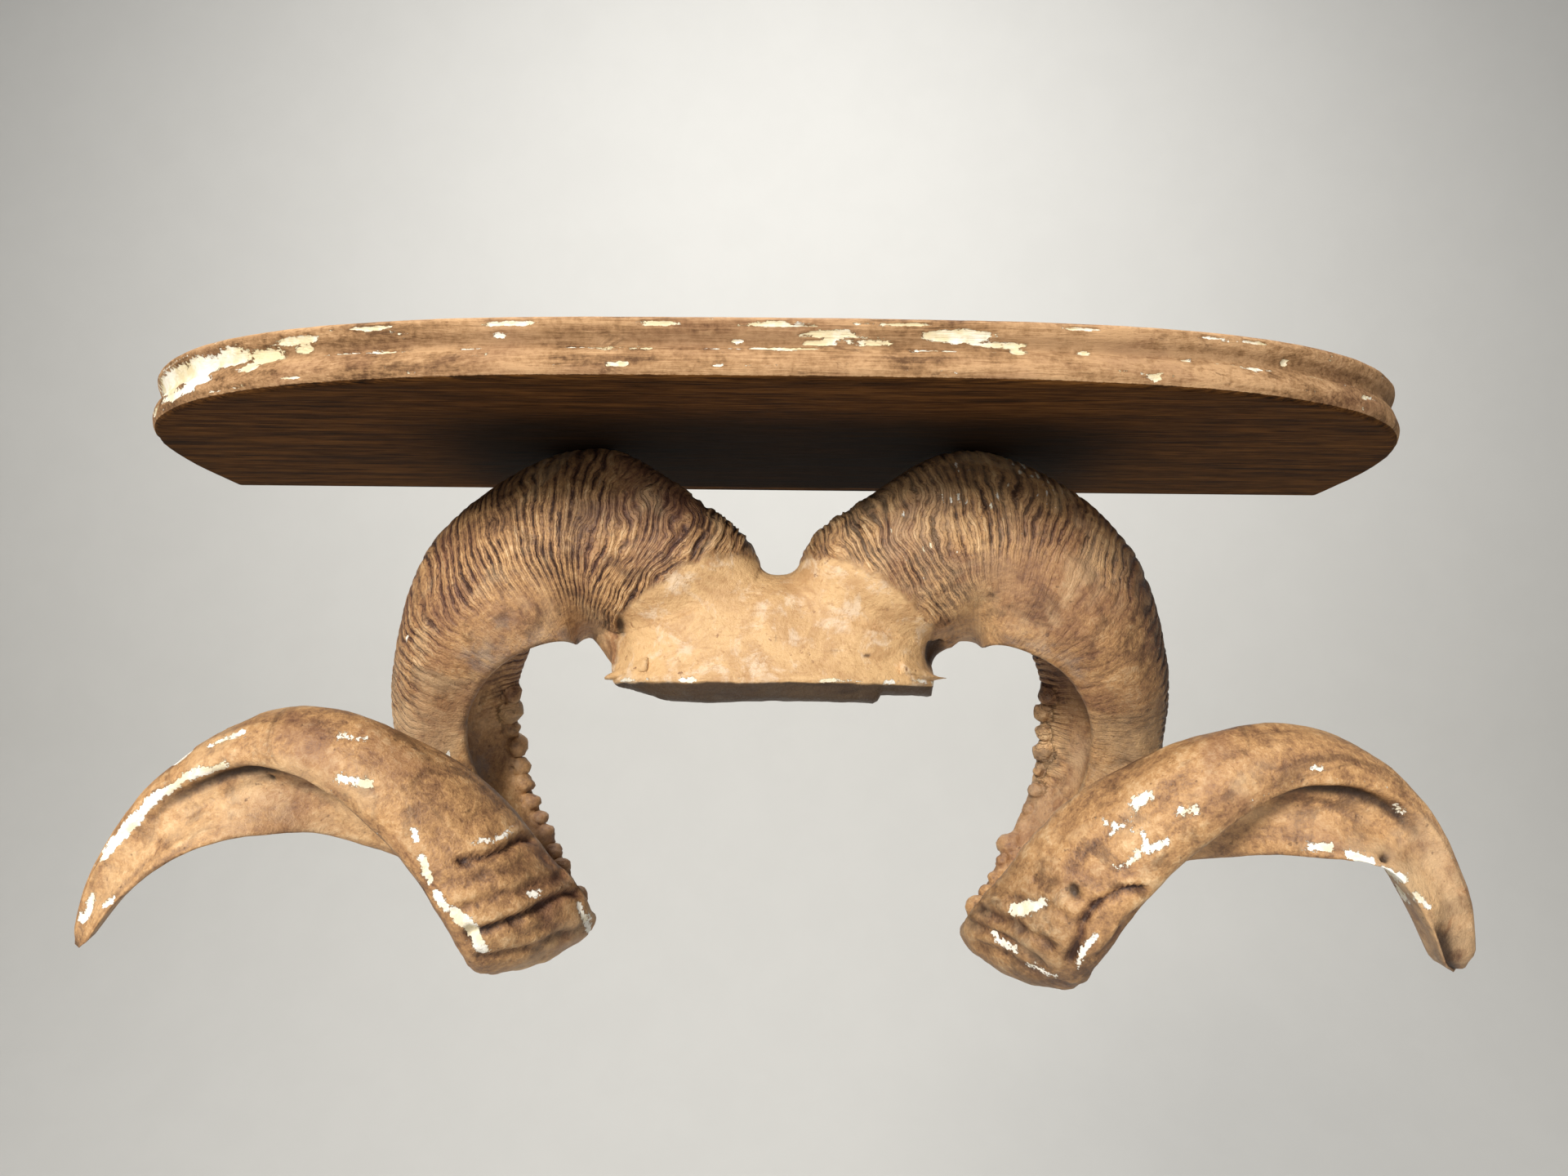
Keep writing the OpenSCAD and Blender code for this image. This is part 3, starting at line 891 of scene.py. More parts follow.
def make_cap():
    """The skull cap as a closed tube that runs from horn to horn."""
    grid = np.zeros((CAP_SLICES, CAP_POINTS, 3))
    for i, x in enumerate(np.linspace(-CAP_LOBE, CAP_LOBE, CAP_SLICES)):
        outline = cap_outline(x)
        closed = np.vstack([outline, outline[:1]])
        steps = run_along(closed)
        at = np.arange(CAP_POINTS) * steps[-1] / CAP_POINTS
        p = points_at(closed, steps, at)
        sharp = np.maximum(bell(at, 0, 2.0), bell(at, steps[-1], 2.0))[:, None]
        for _ in range(6):
            smooth = (np.roll(p, 1, 0) + p * 2 + np.roll(p, -1, 0)) / 4
            p = smooth + (p - smooth) * sharp
        grid[i] = np.stack([np.full(CAP_POINTS, x), -p[:, 0], p[:, 1]], -1)
    jag = cloud(grid * np.array([1, 0, 0]), 14, 4, 14)
    grid[..., 2] += jag * bell(grid[..., 2], UNDER - CAP_BOTTOM, 3.5)
    return cap_tube("horn_casting", grid)


def make_cap_corner(side, reach, rise):
    """A thin pointed corner of the skull cap's cut edge, under one horn."""
    root = 54
    share = np.linspace(0, 1, 16)[:, None]
    a = np.linspace(0, math.tau, 28, endpoint=False)[None, :]
    x = side * (root + (reach - root) * share)
    y = -95 + 7 * share + (12 * (1 - share) ** 0.7 + 0.8) * np.cos(a)
    high = 5.0 * (1 - share) ** 0.9 + 0.5
    z = UNDER - CAP_BOTTOM + 0.2 + high + rise * share ** 2 + high * np.sin(a)
    return cap_tube("cap_corner", np.stack([x + 0 * a, y, z], -1))


# ---------------------------------------------------------------- the shelf's form

# Power of the rounded outline that the shelf's plan follows
PLAN_POWER = 3.1
# How much wider the gaps are along the plan than down the edge
PLAN_GAPS = 1.9
SHARP_ANGLE = math.radians(50)
# The moulded edge from the top down: how far in from the bead, and the height above the
# underside, in millimetres, for an edge 23 mm thick
EDGE_PROFILE = np.array([
    [3.4, 23], [2.0, 22.8], [1.3, 22.1], [1.1, 20.9], [1.4, 19.7], [2.4, 17.9], [3.5, 15.8],
    [3.9, 13.8], [3.6, 12.1], [2.7, 11.5], [1.9, 11.1], [1.2, 9.6], [0.4, 7.5], [0.0, 5.2],
    [0.3, 3.0], [1.2, 1.2], [2.5, 0.3], [4.0, 0]])
PROFILE_T = 23
# Rows of faces from the rim of the top and the underside to the wall
FLAT_ROWS = 24


def plan_line(count):
    """The shelf's plan from its right end to its left, evenly spaced, with outward directions."""
    a = np.radians(np.linspace(0, 180, 6001))
    c, s = np.cos(a), np.sin(a)
    p = np.stack([SHELF_W / 2 * np.sign(c) * np.abs(c) ** (2 / PLAN_POWER),
                  -SHELF_D * np.abs(s) ** (2 / PLAN_POWER)], -1)
    steps = run_along(p)
    at = np.linspace(0, steps[-1], count)
    p = points_at(p, steps, at)
    q = PLAN_POWER - 1
    out = np.stack([np.sign(p[:, 0]) * (np.abs(p[:, 0]) / (SHELF_W / 2)) ** q / SHELF_W * 2,
                    -(np.abs(p[:, 1]) / SHELF_D) ** q / SHELF_D], -1)
    return p, unit(out), at


def edge_line(step):
    """The edge's section from the top down: how far in from the bead, and the height."""
    c = spline(EDGE_PROFILE, np.linspace(0, len(EDGE_PROFILE) - 1, 400))
    c[:, 1] = UNDER + np.clip(c[:, 1], 0, PROFILE_T) * SHELF_T / PROFILE_T
    c[:, 0] = np.maximum(c[:, 0], 0)
    steps = run_along(c)
    return points_at(c, steps, np.linspace(0, steps[-1], int(steps[-1] / step) + 1))


# Chips along the shelf's edge: distance along it from the middle, height, half length
# and half height, in millimetres.
SHELF_CHIPS = [
    (-262, 3, 22, 7), (-285, 0, 22, 9), (-310, -3, 24, 8), (-340, -4, 20, 6), (-236, 2, 20, 6.5),
    (-214, 4, 18, 4.5), (-196, 2.5, 12, 4.5), (-250, -5, 22, 3.5), (-182, 6.8, 14, 1.7),
    (-178, 3.6, 5, 2.2), (-365, -5, 14, 5), (-278, -7, 12, 2), (-204, -1.5, 9, 2),
    (-228, -3.5, 8, 2), (22, 5.5, 16, 2.2), (16, 2.6, 8, 1.2), (34, 3.0, 10, 1.6),
    (66, 5.8, 18, 2.8), (80, 3.2, 12, 2.0), (88, 0.2, 5, 1.6), (4, 0.2, 14, 0.8),
    (-66, 0.4, 12, 0.9), (-112, 0.2, 7, 0.8), (112, 0.8, 3, 1.4), (152, 0.4, 6, 1.3),
    (196, 4, 3, 2), (-20, -7, 3, 0.8), (240, -4, 4, 1.2), (-130, 7, 14, 0.9),
    (-56, -6.5, 5, 1.2), (138, -7.5, 4, 1.8), (-160, 0.4, 10, 0.7), (-100, 5, 4, 1.4),
    (-14, 3, 4, 1), (-180, -8, 6, 0.8), (0, 8.6, 22, 0.9), (-40, 8.8, 14, 0.8),
    (48, 9.0, 12, 0.7), (-96, 8.8, 18, 0.8), (-150, 8.9, 12, 0.7), (110, 9.1, 10, 0.6),
    (-200, 0.5, 9, 0.8), (180, 9, 6, 0.6)]


def shelf_chips(p, along):
    """1 inside a chip of the shelf's edge, with ragged edges."""
    ragged = 0.85 * cloud(p, (16, 12, 5), 5, 31)
    field = np.zeros(len(p))
    for x, z, long, tall in SHELF_CHIPS:
        d = ((along - x) / long) ** 2 + ((p[:, 2] - z) / tall) ** 2
        field = np.maximum(field, 1.1 - d + ragged)
    rims = 0.42 * bell(p[:, 2], UNDER + 11.2, 0.7) + 0.38 * bell(p[:, 2], UNDER + 20.6, 0.9)
    rims = rims + 0.30 * bell(p[:, 2], UNDER + 3.5, 1.6)
    field = np.maximum(field, rims + 1.3 * cloud(p, (18, 14, 3), 4, 33) - 0.42)
    return np.clip(field, 0, 1)


def make_shelf(step):
    """The shelf as one closed mesh: moulded edge, top, underside and back."""
    edge = edge_line(step)
    plan, out, at = plan_line(int(2 * (SHELF_W + SHELF_D) / step / PLAN_GAPS))
    n, m = len(plan), len(edge)
    pts = np.zeros((n, m, 3))
    pts[..., :2] = plan[:, None, :] - out[:, None, :] * edge[None, :, :1]
    pts[..., 1] = np.minimum(pts[..., 1], 0)
    pts[..., 2] = edge[None, :, 1]
    flat = pts.reshape(-1, 3)
    chips = shelf_chips(flat, np.repeat(at[-1] / 2 - at, m))
    wear = 0.45 * cloud(flat, 24, 4, 34) + 0.16 * cloud(flat, 6, 3, 35)
    scratches = 0.22 * cloud(flat, (70, 70, 2.2), 3, 36)
    inner = np.tile(edge[:, 0] < 2.2, n)
    height = wear + scratches - 0.75 * ease((chips - 0.35) / 0.25) - 0.35 * inner
    flat[:, :2] += np.repeat(out, m, 0) * (height * ease(-flat[:, 1] / 6))[:, None]
    flat[:, 1] = np.minimum(flat[:, 1], 0)
    corner = (np.arange(n - 1)[:, None] * m + np.arange(m - 1)).reshape(-1)
    faces = np.stack([corner, corner + 1, corner + m + 1, corner + m], -1).tolist()
    bead = ease((flat[:, 2] - UNDER - 0.6) / 1.4)
    # The hollow field marks painted shade in the edge's cove; the painted shade under the shelf is
    # filled in on the underside
    fields = {"chip": chips * bead, "relief": wear * 2 + scratches * 3, "edge": bead,
              "hollow": bell(flat[:, 2], UNDER + 15, 3.0), "under_shade": np.zeros(n * m)}
    verts = flat
    for rim, z in ((np.arange(n) * m, UNDER + SHELF_T), (np.arange(n) * m + m - 1, UNDER)):
        verts = add_flat_side(verts, faces, fields, rim, z)
    faces.append([*range(m), *range(n * m - 1, (n - 1) * m - 1, -1)])
    mesh = bpy.data.meshes.new("shelf_board")
    mesh.from_pydata((verts * MM).tolist(), [], faces)
    for name, values in fields.items():
        store_field(mesh, name, values)
    return finish_mesh("shelf_board", mesh)


def add_flat_side(verts, faces, fields, rim, z):
    """Fills the shelf's top or underside with strips that follow its outline to the wall."""
    edge = verts[rim]
    share = 1 - np.arange(1, FLAT_ROWS)[:, None] / FLAT_ROWS
    x, y = np.broadcast_to(edge[:, 0], (len(share), len(rim))), edge[:, 1] * share
    added = np.stack([x, y, np.full_like(y, z)], -1).reshape(-1, 3)
    rings = np.vstack([rim, len(verts) + np.arange(len(added)).reshape(len(share), -1)])
    for a, b in zip(rings, rings[1:]):
        faces.extend(np.stack([a[:-1], a[1:], b[1:], b[:-1]], -1).tolist())
    faces.append(rings[-1].tolist())
    # Painted shade under the shelf's middle, round the horns, on the underside only
    under_shade = between(added[:, 0], -150, 150, 120) * between(added[:, 1], -150, 60, 90) * (z < 0)
    for name, values in fields.items():
        fields[name] = np.append(values, under_shade if name == "under_shade" else np.zeros(len(added)))
    return np.vstack([verts, added])


# ---------------------------------------------------------------- paint and plaster

class Paint:
    """A material being built: short calls that add a node and link or set its inputs."""

    def __init__(self, name):
        self.material = bpy.data.materials.new(name)
        self.material.use_nodes = True
        self.tree = self.material.node_tree
        self.tree.nodes.clear()
        self.shader = self.tree.nodes.new("ShaderNodeBsdfPrincipled")
        end = self.tree.nodes.new("ShaderNodeOutputMaterial")
        self.tree.links.new(self.shader.outputs[0], end.inputs[0])
        self.place = self.tree.nodes.new("ShaderNodeTexCoord").outputs["Object"]

    def feed(self, socket, value):
        if isinstance(value, bpy.types.NodeSocket):
            self.tree.links.new(value, socket)
        elif socket.type == "RGBA" and len(value) == 3:
            socket.default_value = (*value, 1)
        else:
            socket.default_value = value

    def sum(self, operation, a, b=0.0, c=0.0):
        node = self.tree.nodes.new("ShaderNodeMath")
        node.operation = operation
        for socket, value in zip(node.inputs, (a, b, c)):
            self.feed(socket, value)
        return node.outputs[0]

    def clamp_range(self, value, low, high, to_low=0.0, to_high=1.0):
        node = self.tree.nodes.new("ShaderNodeMapRange")
        node.interpolation_type = "SMOOTHSTEP"
        for name, v in (("Value", value), ("From Min", low), ("From Max", high),
                        ("To Min", to_low), ("To Max", to_high)):
            self.feed(node.inputs[name], v)
        return node.outputs[0]

    def mix(self, share, a, b):
        node = self.tree.nodes.new("ShaderNodeMix")
        node.data_type = "RGBA"
        for index, value in ((0, share), (6, a), (7, b)):
            self.feed(node.inputs[index], value)
        return node.outputs[2]

    def stretched(self, squeeze):
        """Places squeezed across X, for streaks that run along it."""
        node = self.tree.nodes.new("ShaderNodeMapping")
        self.feed(node.inputs["Vector"], self.place)
        node.inputs["Scale"].default_value = (1.0, squeeze, squeeze)
        return node.outputs[0]

    def noise(self, scale, detail=3.0, rough=0.55, warp=0.0, at=None):
        node = self.tree.nodes.new("ShaderNodeTexNoise")
        self.feed(node.inputs["Vector"], at or self.place)
        for name, v in (("Scale", scale), ("Detail", detail), ("Roughness", rough),
                        ("Distortion", warp)):
            node.inputs[name].default_value = v
        return node.outputs[0]

    def field(self, name):
        node = self.tree.nodes.new("ShaderNodeAttribute")
        node.attribute_name = name
        return node.outputs["Fac"]

    def ramp(self, value, stops):
        node = self.tree.nodes.new("ShaderNodeValToRGB")
        while len(node.color_ramp.elements) < len(stops):
            node.color_ramp.elements.new(0.5)
        for element, (place, colour) in zip(node.color_ramp.elements, stops):
            element.position = place
            element.color = (*colour, 1)
        self.feed(node.inputs[0], value)
        return node.outputs[0]

    def jitter(self, texture, amount, value):
        """Shifts a value by a texture's distance from its middle."""
        return self.sum("MULTIPLY_ADD", self.sum("SUBTRACT", texture, 0.5), amount, value)

    def from_half(self, value):
        """Distance of a value's fraction from a half."""
        return self.sum("ABSOLUTE", self.sum("SUBTRACT", self.sum("FRACT", value), 0.5))

    def blots(self, most, low, high, *texture):
        """Blots of noise, from 0 to most."""
        return self.clamp_range(self.noise(*texture), low, high, 0.0, most)

    def toward(self, share, colour, tint, strength):
        """Tints a colour by a strength where the share is 1."""
        return self.mix(share, colour, self.mix(strength, colour, tint))

    def torn(self, texture):
        """1 where the paint is off, with torn edges."""
        return self.clamp_range(self.jitter(texture, 1.9, self.field("chip")), 0.47, 0.54)

    def bump(self, layers):
        """Chains bumps: each layer is a height, its distance in metres and its strength."""
        normal = None
        for height, distance, strength in layers:
            node = self.tree.nodes.new("ShaderNodeBump")
            node.inputs["Distance"].default_value = distance
            node.inputs["Strength"].default_value = strength
            self.feed(node.inputs["Height"], height)
            if normal:
                self.feed(node.inputs["Normal"], normal)
            normal = node.outputs[0]
        self.feed(self.shader.inputs["Normal"], normal)


def horn_paint(colours):
    """Antiqued brown: dark in grooves, pale on ridges, tan on the bone, chipped to plaster."""
    m = Paint("horn_paint")
    relief, bone, ridged = m.field("relief"), m.field("bone"), m.field("ridged")
    fine = m.noise(1100, 4, 0.62)
    grit = m.noise(330, 4, 0.65, 0.3)
    bent = m.jitter(m.noise(240, 4, 0.65), 0.75, m.field("phase"))
    line = m.sum("MULTIPLY", m.from_half(m.sum("ADD", bent, 0.5)), 2.0)
    thin = m.from_half(m.jitter(m.noise(160, 3, 0.6), 1.2, m.sum("MULTIPLY", bent, 2.6)))
    gaps = m.blots(1.0, 0.36, 0.58, 120, 3, 0.6, 0.5)
    groove = m.sum("MULTIPLY", m.clamp_range(line, 0.34, 0.04), m.sum("MULTIPLY", ridged, gaps))
    hair = m.sum("MULTIPLY", m.clamp_range(thin, 0.14, 0.02), m.sum("MULTIPLY", ridged, 0.55))
    crest = m.sum("MULTIPLY", m.clamp_range(line, 0.55, 0.95), ridged)
    cut = m.sum("MAXIMUM", groove, hair)

    height = m.sum("MULTIPLY_ADD", relief, 0.30, 0.53)
    height = m.sum("MULTIPLY_ADD", cut, -0.31, m.sum("MULTIPLY_ADD", crest, 0.12, height))
    for texture, amount in ((grit, 0.75), (fine, 0.45), (m.noise(52, 5, 0.62, 0.8), 0.75)):
        height = m.jitter(texture, amount, height)
    brown = m.ramp(height, [(0.08, colours.groove), (0.34, colours.horn),
                            (0.60, colours.horn_light), (0.92, colours.ridge)])
    worn = m.sum("MULTIPLY", m.field("rub"), m.blots(1.0, 0.34, 0.6, 64, 5, 0.66, 0.8))
    for share, tint, strength in (
            (m.blots(0.7, 0.46, 0.62, 17, 4, 0.6, 0.6), colours.warm, 0.62),
            (m.blots(0.7, 0.51, 0.65, 34, 5, 0.68, 1.2), colours.groove, 0.72),
            (m.blots(0.5, 0.54, 0.68, 26, 4, 0.62, 0.7), colours.ridge, 0.6),
            (worn, colours.ridge, 0.62)):
        brown = m.toward(share, brown, tint, strength)
    brown = m.mix(m.blots(0.55, 0.68, 0.75, 260, 2, 0.5), brown, colours.groove)

    tan = m.mix(m.blots(0.7, 0.42, 0.66, 44, 6, 0.72, 0.8), colours.bone, colours.bone_dark)
    halo = m.sum("MULTIPLY", m.clamp_range(bone, 0.98, 0.70), 0.55)
    for share, tint in (
            (m.blots(0.5, 0.50, 0.66, 75, 5, 0.7, 0.5), m.mix(0.5, colours.bone, colours.plaster)),
            (m.blots(0.45, 0.56, 0.66, 60, 5, 0.7, 0.4, m.stretched(6.0)), colours.bone_dark),
            (m.blots(0.55, 0.56, 0.70, 480, 3, 0.6), colours.bone_dark),
            (m.clamp_range(relief, -0.15, -0.7, 0.0, 0.6), colours.groove),
            (halo, m.mix(0.5, colours.bone_dark, colours.groove))):
        tan = m.mix(share, tan, tint)
    edge = m.jitter(m.noise(130, 4, 0.6, 0.8), 1.6, m.jitter(grit, 1.5, bone))
    edge = m.clamp_range(m.sum("MULTIPLY_ADD", cut, -0.35, edge), 0.46, 0.66)

    # Grey dust, with painted sheen and painted highlights on the crests
    dust_and_sheen = m.sum("MULTIPLY", m.field("dust_and_sheen"), m.noise(110, 4, 0.7, 0.4))
    dust_and_sheen = m.clamp_range(dust_and_sheen, 0.20, 0.60, 0.0, 0.75)
    # Painted shade: where the dark field is high, the colour goes towards the deep shade colour
    shade = m.jitter(m.noise(180, 4, 0.65), 0.45, m.field("dark"))
    bare = m.torn(m.noise(420, 5, 0.72))
    plaster = m.mix(m.blots(0.8, 0.42, 0.66, 90, 3, 0.6), colours.plaster, colours.cream)
    colour = m.mix(edge, brown, tan)
    for share, tint in ((dust_and_sheen, colours.dust_and_sheen), (m.clamp_range(shade, 0.12, 0.95, 0.0, 0.92),
                                               colours.shadow), (bare, plaster)):
        colour = m.mix(share, colour, tint)
    m.feed(m.shader.inputs["Base Color"], colour)
    dull = m.sum("MULTIPLY", m.sum("MAXIMUM", bare, dust_and_sheen), 0.85)
    rough = m.sum("MAXIMUM", m.clamp_range(fine, 0.3, 0.7, 0.44, 0.66), dull)
    m.feed(m.shader.inputs["Roughness"], rough)
    m.shader.inputs["Specular IOR Level"].default_value = 0.4
    m.bump([(fine, 0.0005, 0.5), (grit, 0.0012, 0.6), (cut, -0.0007, 0.9), (bare, -0.0004, 0.9)])
    return m.material


def board_paint(colours):
    """Streaky dark brown underneath, darkened as painted shade and near-black round the horns as
    painted shade; tan brown on the moulded edge, darker in its cove as painted shade; chipped to
    plaster.
    """
    m = Paint("board_paint")
    edge = m.field("edge")
    grain = m.noise(13, 7, 0.68, 0.7, m.stretched(14.0))
    fine_grain = m.noise(55, 5, 0.65, 0.3, m.stretched(24.0))
    grit = m.noise(420, 4, 0.68)
    streak = m.sum("MULTIPLY_ADD", fine_grain, 0.55, m.sum("MULTIPLY", grain, 0.5))
    # The shelf's streaky brown, darkened as painted shade
    under = m.ramp(streak, [(0.40, colours.board_dark), (0.50, colours.board),
                            (0.62, colours.board_light)])
    # Near-black painted shade under the shelf, round the horns
    under_shade = m.clamp_range(m.jitter(grain, 0.8, m.field("under_shade")), 0.2, 0.85, 0.0, 0.85)
    under = m.mix(under_shade, under, colours.under_shade)
    tone = m.sum("MULTIPLY_ADD", m.field("relief"), 0.22, m.jitter(grit, 0.5, streak))
    side = m.ramp(tone, [(0.30, colours.edge_dark), (0.47, colours.edge_brown),
                         (0.66, colours.board_pale)])
    stains = m.blots(0.75, 0.58, 0.68, 40, 5, 0.68, 0.8, m.stretched(2.2))
    side = m.mix(stains, side, colours.edge_dark)
    warm = m.blots(0.5, 0.5, 0.66, 18, 4, 0.6, 0.4, m.stretched(3.0))
    side = m.toward(warm, side, colours.warm, 0.5)
    # Painted shade in the cove of the moulded edge
    hollow = m.clamp_range(m.field("hollow"), 0.0, 1.0, 0.0, 0.55)
    side = m.toward(hollow, side, colours.edge_dark, 0.7)
    brown = m.mix(m.clamp_range(m.jitter(grit, 0.6, edge), 0.4, 0.6), under, side)
    bare = m.torn(m.noise(330, 5, 0.72, 0.0, m.stretched(1.8)))
    plaster = m.mix(m.blots(0.85, 0.40, 0.62, 60, 4, 0.66), colours.cream, colours.plaster)
    m.feed(m.shader.inputs["Base Color"], m.mix(bare, brown, plaster))
    rough = m.sum("ADD", m.clamp_range(edge, 0.2, 0.8, 0.35, 0.0),
                  m.clamp_range(grain, 0.3, 0.7, 0.56, 0.7))
    m.feed(m.shader.inputs["Roughness"], m.sum("MULTIPLY_ADD", bare, 0.2, rough))
    m.shader.inputs["Specular IOR Level"].default_value = 0.1
    m.bump([(fine_grain, 0.0010, 0.6), (grit, 0.0006, 0.5), (bare, -0.0005, 0.9)])
    return m.material


def plain_paint(name, colour, rough):
    """A matt colour with a faint mottle."""
    m = Paint(name)
    shade = m.mix(m.blots(0.25, 0.3, 0.7, 6, 3, 0.6), colour, tuple(c * 0.93 for c in colour))
    m.feed(m.shader.inputs["Base Color"], shade)
    m.shader.inputs["Roughness"].default_value = rough
    return m.material


# ---------------------------------------------------------------- settings a user can change

def paint_colour(name, description, srgb):
    """A colour setting, given as it looks on screen from 0 to 255."""
    values = [c / 255 for c in srgb]
    linear = [c / 12.92 if c <= 0.04045 else ((c + 0.055) / 1.055) ** 2.4 for c in values]
    return FloatVectorProperty(name=name, description=description, subtype="COLOR", size=3,
                               min=0, max=1, default=linear)


class BracketSizes(bpy.types.PropertyGroup):
    knob_count: IntProperty(
        name="Knobs", description="Knobs along each horn's back keel", default=13, min=3)
    knob_size: FloatProperty(
        name="Knob size", description="Usual width of a knob",
        subtype="DISTANCE", unit="LENGTH", default=0.0108)
    fine_step: FloatProperty(
        name="Ridge ring gap", description="Gap between rings over the ridged base, in mm",
        default=0.95, min=0.5)
    edge_step: FloatProperty(
        name="Shelf edge gap", description="Gap between points on the shelf's edge, in mm",
        default=0.95, min=0.5)


class BracketColours(bpy.types.PropertyGroup):
    groove: paint_colour("Groove", "Dark wash left in the grooves", (58, 35, 24))
    horn: paint_colour("Horn", "Brown of the horns", (129, 94, 64))
    horn_light: paint_colour("Light horn", "Brown where the paint is rubbed", (180, 138, 92))
    ridge: paint_colour("Ridge", "Palest brown on the ridges", (216, 184, 142))
    warm: paint_colour("Warm", "Warm purple-brown patches", (108, 70, 56))
    bone: paint_colour("Bone", "Tan of the skull cap", (200, 164, 118))
    bone_dark: paint_colour("Dark bone", "Darker tan of the skull cap", (160, 120, 79))
    # Grey of the dust, and of the painted sheen and crest highlights
    dust_and_sheen: paint_colour("Dust", "Grey bloom on the inner faces", (142, 130, 122))
    shadow: paint_colour("Deep shade", "Dark brown in pits and on the sawn face", (38, 23, 14))
    plaster: paint_colour("Plaster", "White plaster in the chips", (236, 232, 222))
    cream: paint_colour("Cream", "Cream ground in the chips", (214, 200, 164))
    # Near-black painted shade under the shelf, round the horns
    under_shade: paint_colour("Soot", "Near-black stain under the shelf, round the horns", (14, 8, 4))
    # The shelf's streaky browns, darkened as painted shade
    board_dark: paint_colour("Dark board", "Darkest streaks of the shelf", (20, 11, 4))
    board: paint_colour("Board", "Brown of the shelf", (62, 37, 14))
    board_light: paint_colour("Light board", "Lighter streaks of the shelf", (104, 68, 32))
    edge_brown: paint_colour("Edge brown", "Brown of the moulded edge", (146, 112, 78))
    # Stains on the moulded edge, also used for its painted shade in the cove
    edge_dark: paint_colour("Dark edge", "Stains on the moulded edge", (90, 64, 42))
    board_pale: paint_colour("Pale board", "Worn paint along the edge", (182, 146, 108))


# ---------------------------------------------------------------- operators

class BRACKET_OT_shelf(bpy.types.Operator):
    """Make the moulded shelf"""
    bl_idname = "bracket.shelf"
    bl_label = "Make the shelf"

    def execute(self, context):
        scene = context.scene
        board = make_shelf(scene.bracket_sizes.edge_step)
        coat(board, board_paint(scene.bracket_colours))
        board.data.set_sharp_from_angle(angle=SHARP_ANGLE)
        fit_in_box(board, SHELF_LOW, SHELF_HIGH)
        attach(board, "root")
        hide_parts("shelf")
        return {"FINISHED"}


class BRACKET_OT_horns(bpy.types.Operator):
    """Make the casting of two horns and a skull cap"""
    bl_idname = "bracket.horns"
    bl_label = "Make the horns"

    def execute(self, context):
        scene = context.scene
        sizes = scene.bracket_sizes
        paint = horn_paint(scene.bracket_colours)
        casting = make_cap()
        tree, sockets = knob_tree(paint)
        parts = []
        for right in (0, 1):
            parts.append(make_horn(right, sizes.fine_step))
            parts.append(make_knobs(right, sizes, tree, sockets))
        parts += [make_cap_corner(*corner) for corner in CAP_CORNERS]
        join_solids(casting, parts)
        finish_casting(casting)
        coat(casting, paint)
        fit_in_box(casting, HORNS_LOW, HORNS_HIGH)
        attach(casting, "root")
        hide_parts("ram_horns")
        return {"FINISHED"}


class BRACKET_OT_stage(bpy.types.Operator):
    """Set up the pale floor, the soft lights and the camera"""
    bl_idname = "bracket.stage"
    bl_label = "Set the stage"

    def execute(self, context):
        add_backdrop()
        add_lights()
        add_camera()
        return {"FINISHED"}


class BRACKET_PT_panel(bpy.types.Panel):
    """Lists the pieces and the settings"""
    bl_label = "Bracket shelf"
    bl_idname = "BRACKET_PT_panel"
    bl_space_type = "VIEW_3D"
    bl_region_type = "UI"
    bl_category = "Bracket"

    def draw(self, context):
        layout = self.layout
        for operator in OPERATORS:
            layout.operator(operator.bl_idname)
        for group in (context.scene.bracket_sizes, context.scene.bracket_colours):
            for name in group.bl_rna.properties.keys():
                if name not in ("rna_type", "name"):
                    layout.prop(group, name)


# ---------------------------------------------------------------- stage

def add_backdrop():
    """A plain pale floor far below, which sweeps up far behind."""
    mesh = bpy.data.meshes.new("backdrop")
    wide, low, high, front, back, bend, strips = 9.0, -1.7, 6.0, -7.0, 3.6, 1.6, 24
    line = [(front, low)]
    for k in range(strips + 1):
        a = math.radians(90 * k / strips)
        line.append((back - bend + bend * math.sin(a), low + bend - bend * math.cos(a)))
    line.append((back, high))
    verts = [(x, y, z) for y, z in line for x in (-wide, wide)]
    faces = [(2 * i, 2 * i + 1, 2 * i + 3, 2 * i + 2) for i in range(len(line) - 1)]
    mesh.from_pydata(verts, [], faces)
    mesh.polygons.foreach_set("use_smooth", [True] * len(faces))
    mesh.materials.append(plain_paint("pale_floor", (0.60, 0.59, 0.56), 0.9))
    floor = bpy.data.objects.new("backdrop", mesh)
    bpy.context.scene.collection.objects.link(floor)


def add_area_light(name, place, target, size, power, colour):
    light = bpy.data.lights.new(name, "AREA")
    light.shape = "DISK"
    light.size = size
    light.energy = power
    light.color = colour
    obj = bpy.data.objects.new(name, light)
    obj.location = place
    obj.rotation_euler = (Vector(target) - Vector(place)).to_track_quat("-Z", "Y").to_euler()
    bpy.context.scene.collection.objects.link(obj)


# Each light: name, place, what it points at, width, power in watts and colour
MIDDLE = (0, -0.09, -0.12)
LIGHTS = [
    ("key", (-1.0, -2.5, 0.98), MIDDLE, 0.8, 119, (1.0, 0.96, 0.90)),
    ("top", (0.2, -0.9, 2.4), MIDDLE, 1.6, 22, (1.0, 0.98, 0.95)),
    ("low_fill", (0.5, -2.4, -0.8), MIDDLE, 1.4, 14, (1.0, 0.95, 0.88)),
    ("backdrop_wash", (0, 0.6, 2.6), (0, 3.6, -0.3), 2.5, 120, (1.0, 1.0, 1.0))]


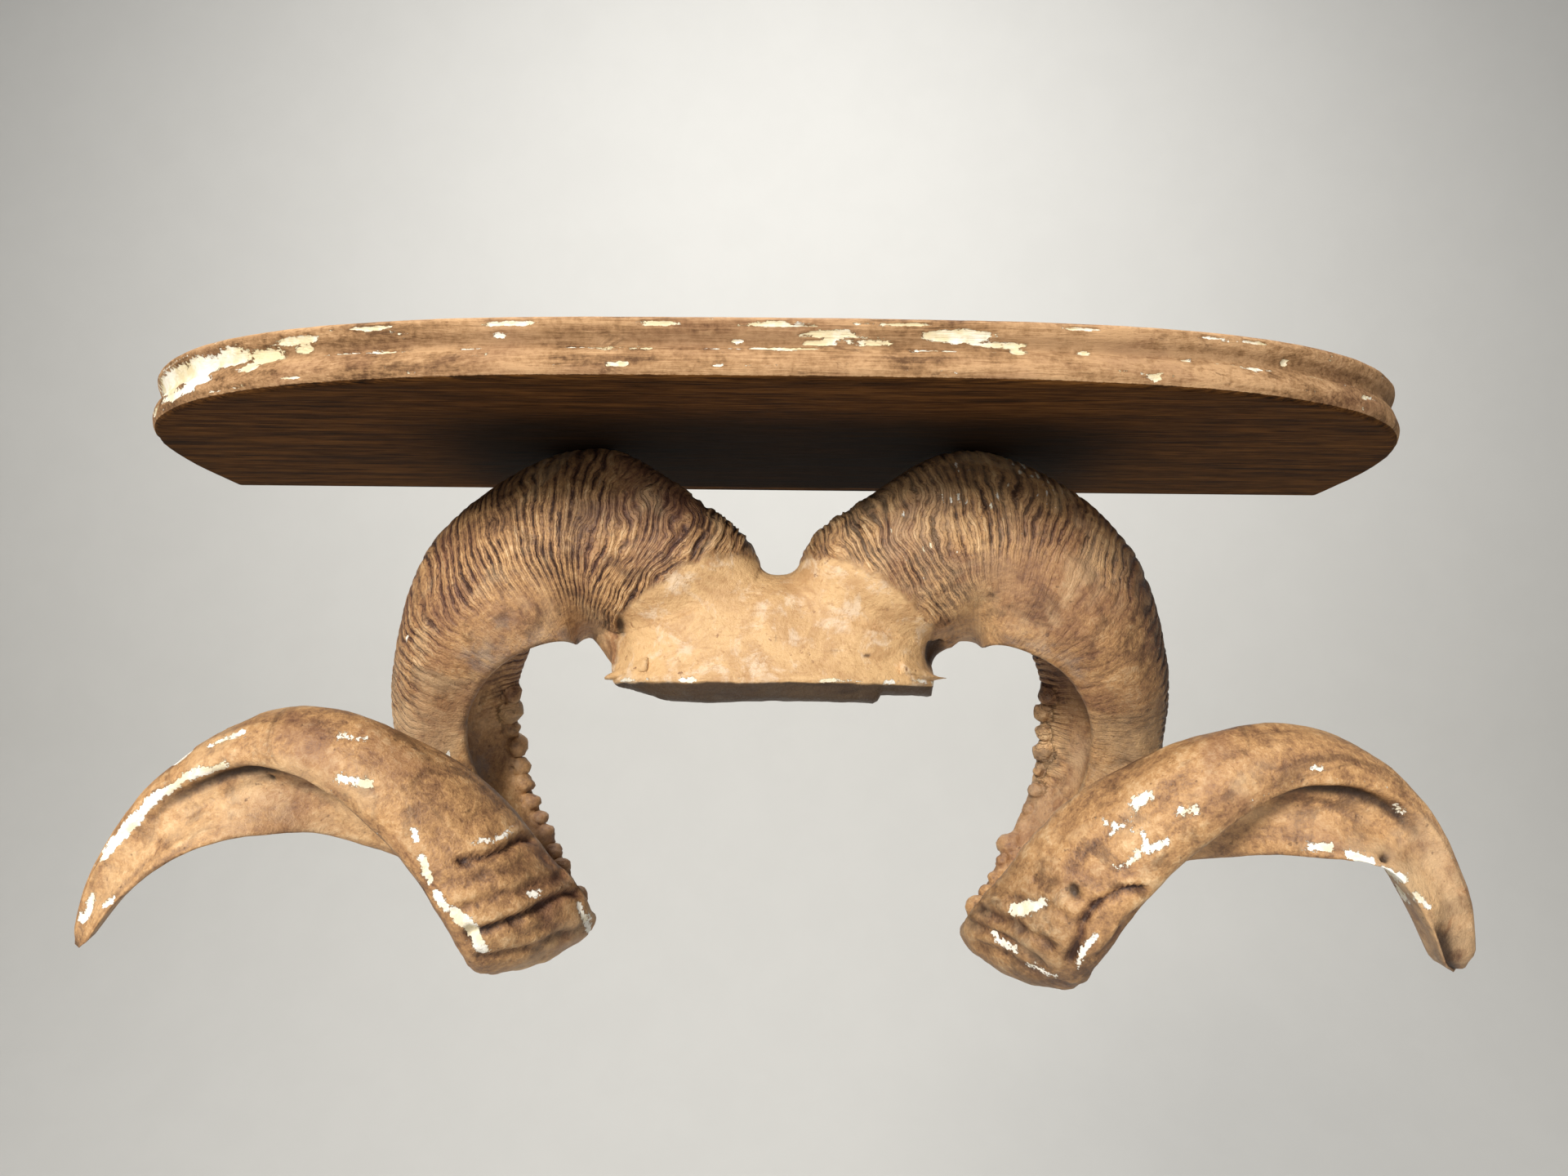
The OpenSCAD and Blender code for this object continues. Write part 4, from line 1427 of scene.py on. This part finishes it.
def add_lights():
    """A soft key light from the upper left in front, weak fills and a faint sky."""
    for light in LIGHTS:
        add_area_light(*light)
    world = bpy.data.worlds.new("studio")
    world.use_nodes = True
    sky = world.node_tree.nodes["Background"]
    sky.inputs["Color"].default_value = (0.90, 0.94, 1.0, 1)
    sky.inputs["Strength"].default_value = 0.16
    bpy.context.scene.world = world
    bpy.context.scene.view_settings.view_transform = "Standard"


CAMERA_PLACE = (0.004, -0.605, -0.134)
CAMERA_PITCH, CAMERA_ROLL = math.radians(6.7), math.radians(0.55)
LENS, SENSOR = 27, 36


def add_camera():
    """A wide lens in front of the shelf, a little below it and tipped upwards."""
    pitch, roll = CAMERA_PITCH, CAMERA_ROLL
    ahead = Vector((0, math.cos(pitch), math.sin(pitch)))
    side, up = Vector((1, 0, 0)), Vector((0, -math.sin(pitch), math.cos(pitch)))
    right = side * math.cos(roll) + up * math.sin(roll)
    above = up * math.cos(roll) - side * math.sin(roll)
    camera = bpy.data.objects.new("camera", bpy.data.cameras.new("camera"))
    camera.data.sensor_width = SENSOR
    camera.data.lens = LENS
    camera.data.clip_start = 0.01
    turn = Matrix((right, above, -ahead)).transposed().to_4x4()
    camera.matrix_world = Matrix.Translation(CAMERA_PLACE) @ turn
    bpy.context.scene.collection.objects.link(camera)
    bpy.context.scene.camera = camera


# ---------------------------------------------------------------- registration and the run

OPERATORS = (BRACKET_OT_shelf, BRACKET_OT_horns, BRACKET_OT_stage)
CLASSES = (BracketSizes, BracketColours, *OPERATORS, BRACKET_PT_panel)


def register():
    for cls in CLASSES:
        bpy.utils.register_class(cls)
    bpy.types.Scene.bracket_sizes = PointerProperty(type=BracketSizes)
    bpy.types.Scene.bracket_colours = PointerProperty(type=BracketColours)


def unregister():
    del bpy.types.Scene.bracket_sizes
    del bpy.types.Scene.bracket_colours
    for cls in reversed(CLASSES):
        bpy.utils.unregister_class(cls)


def main():
    register()
    bpy.ops.bracket.stage()
    bpy.ops.bracket.shelf()
    bpy.ops.bracket.horns()


if __name__ == "__main__":
    main()
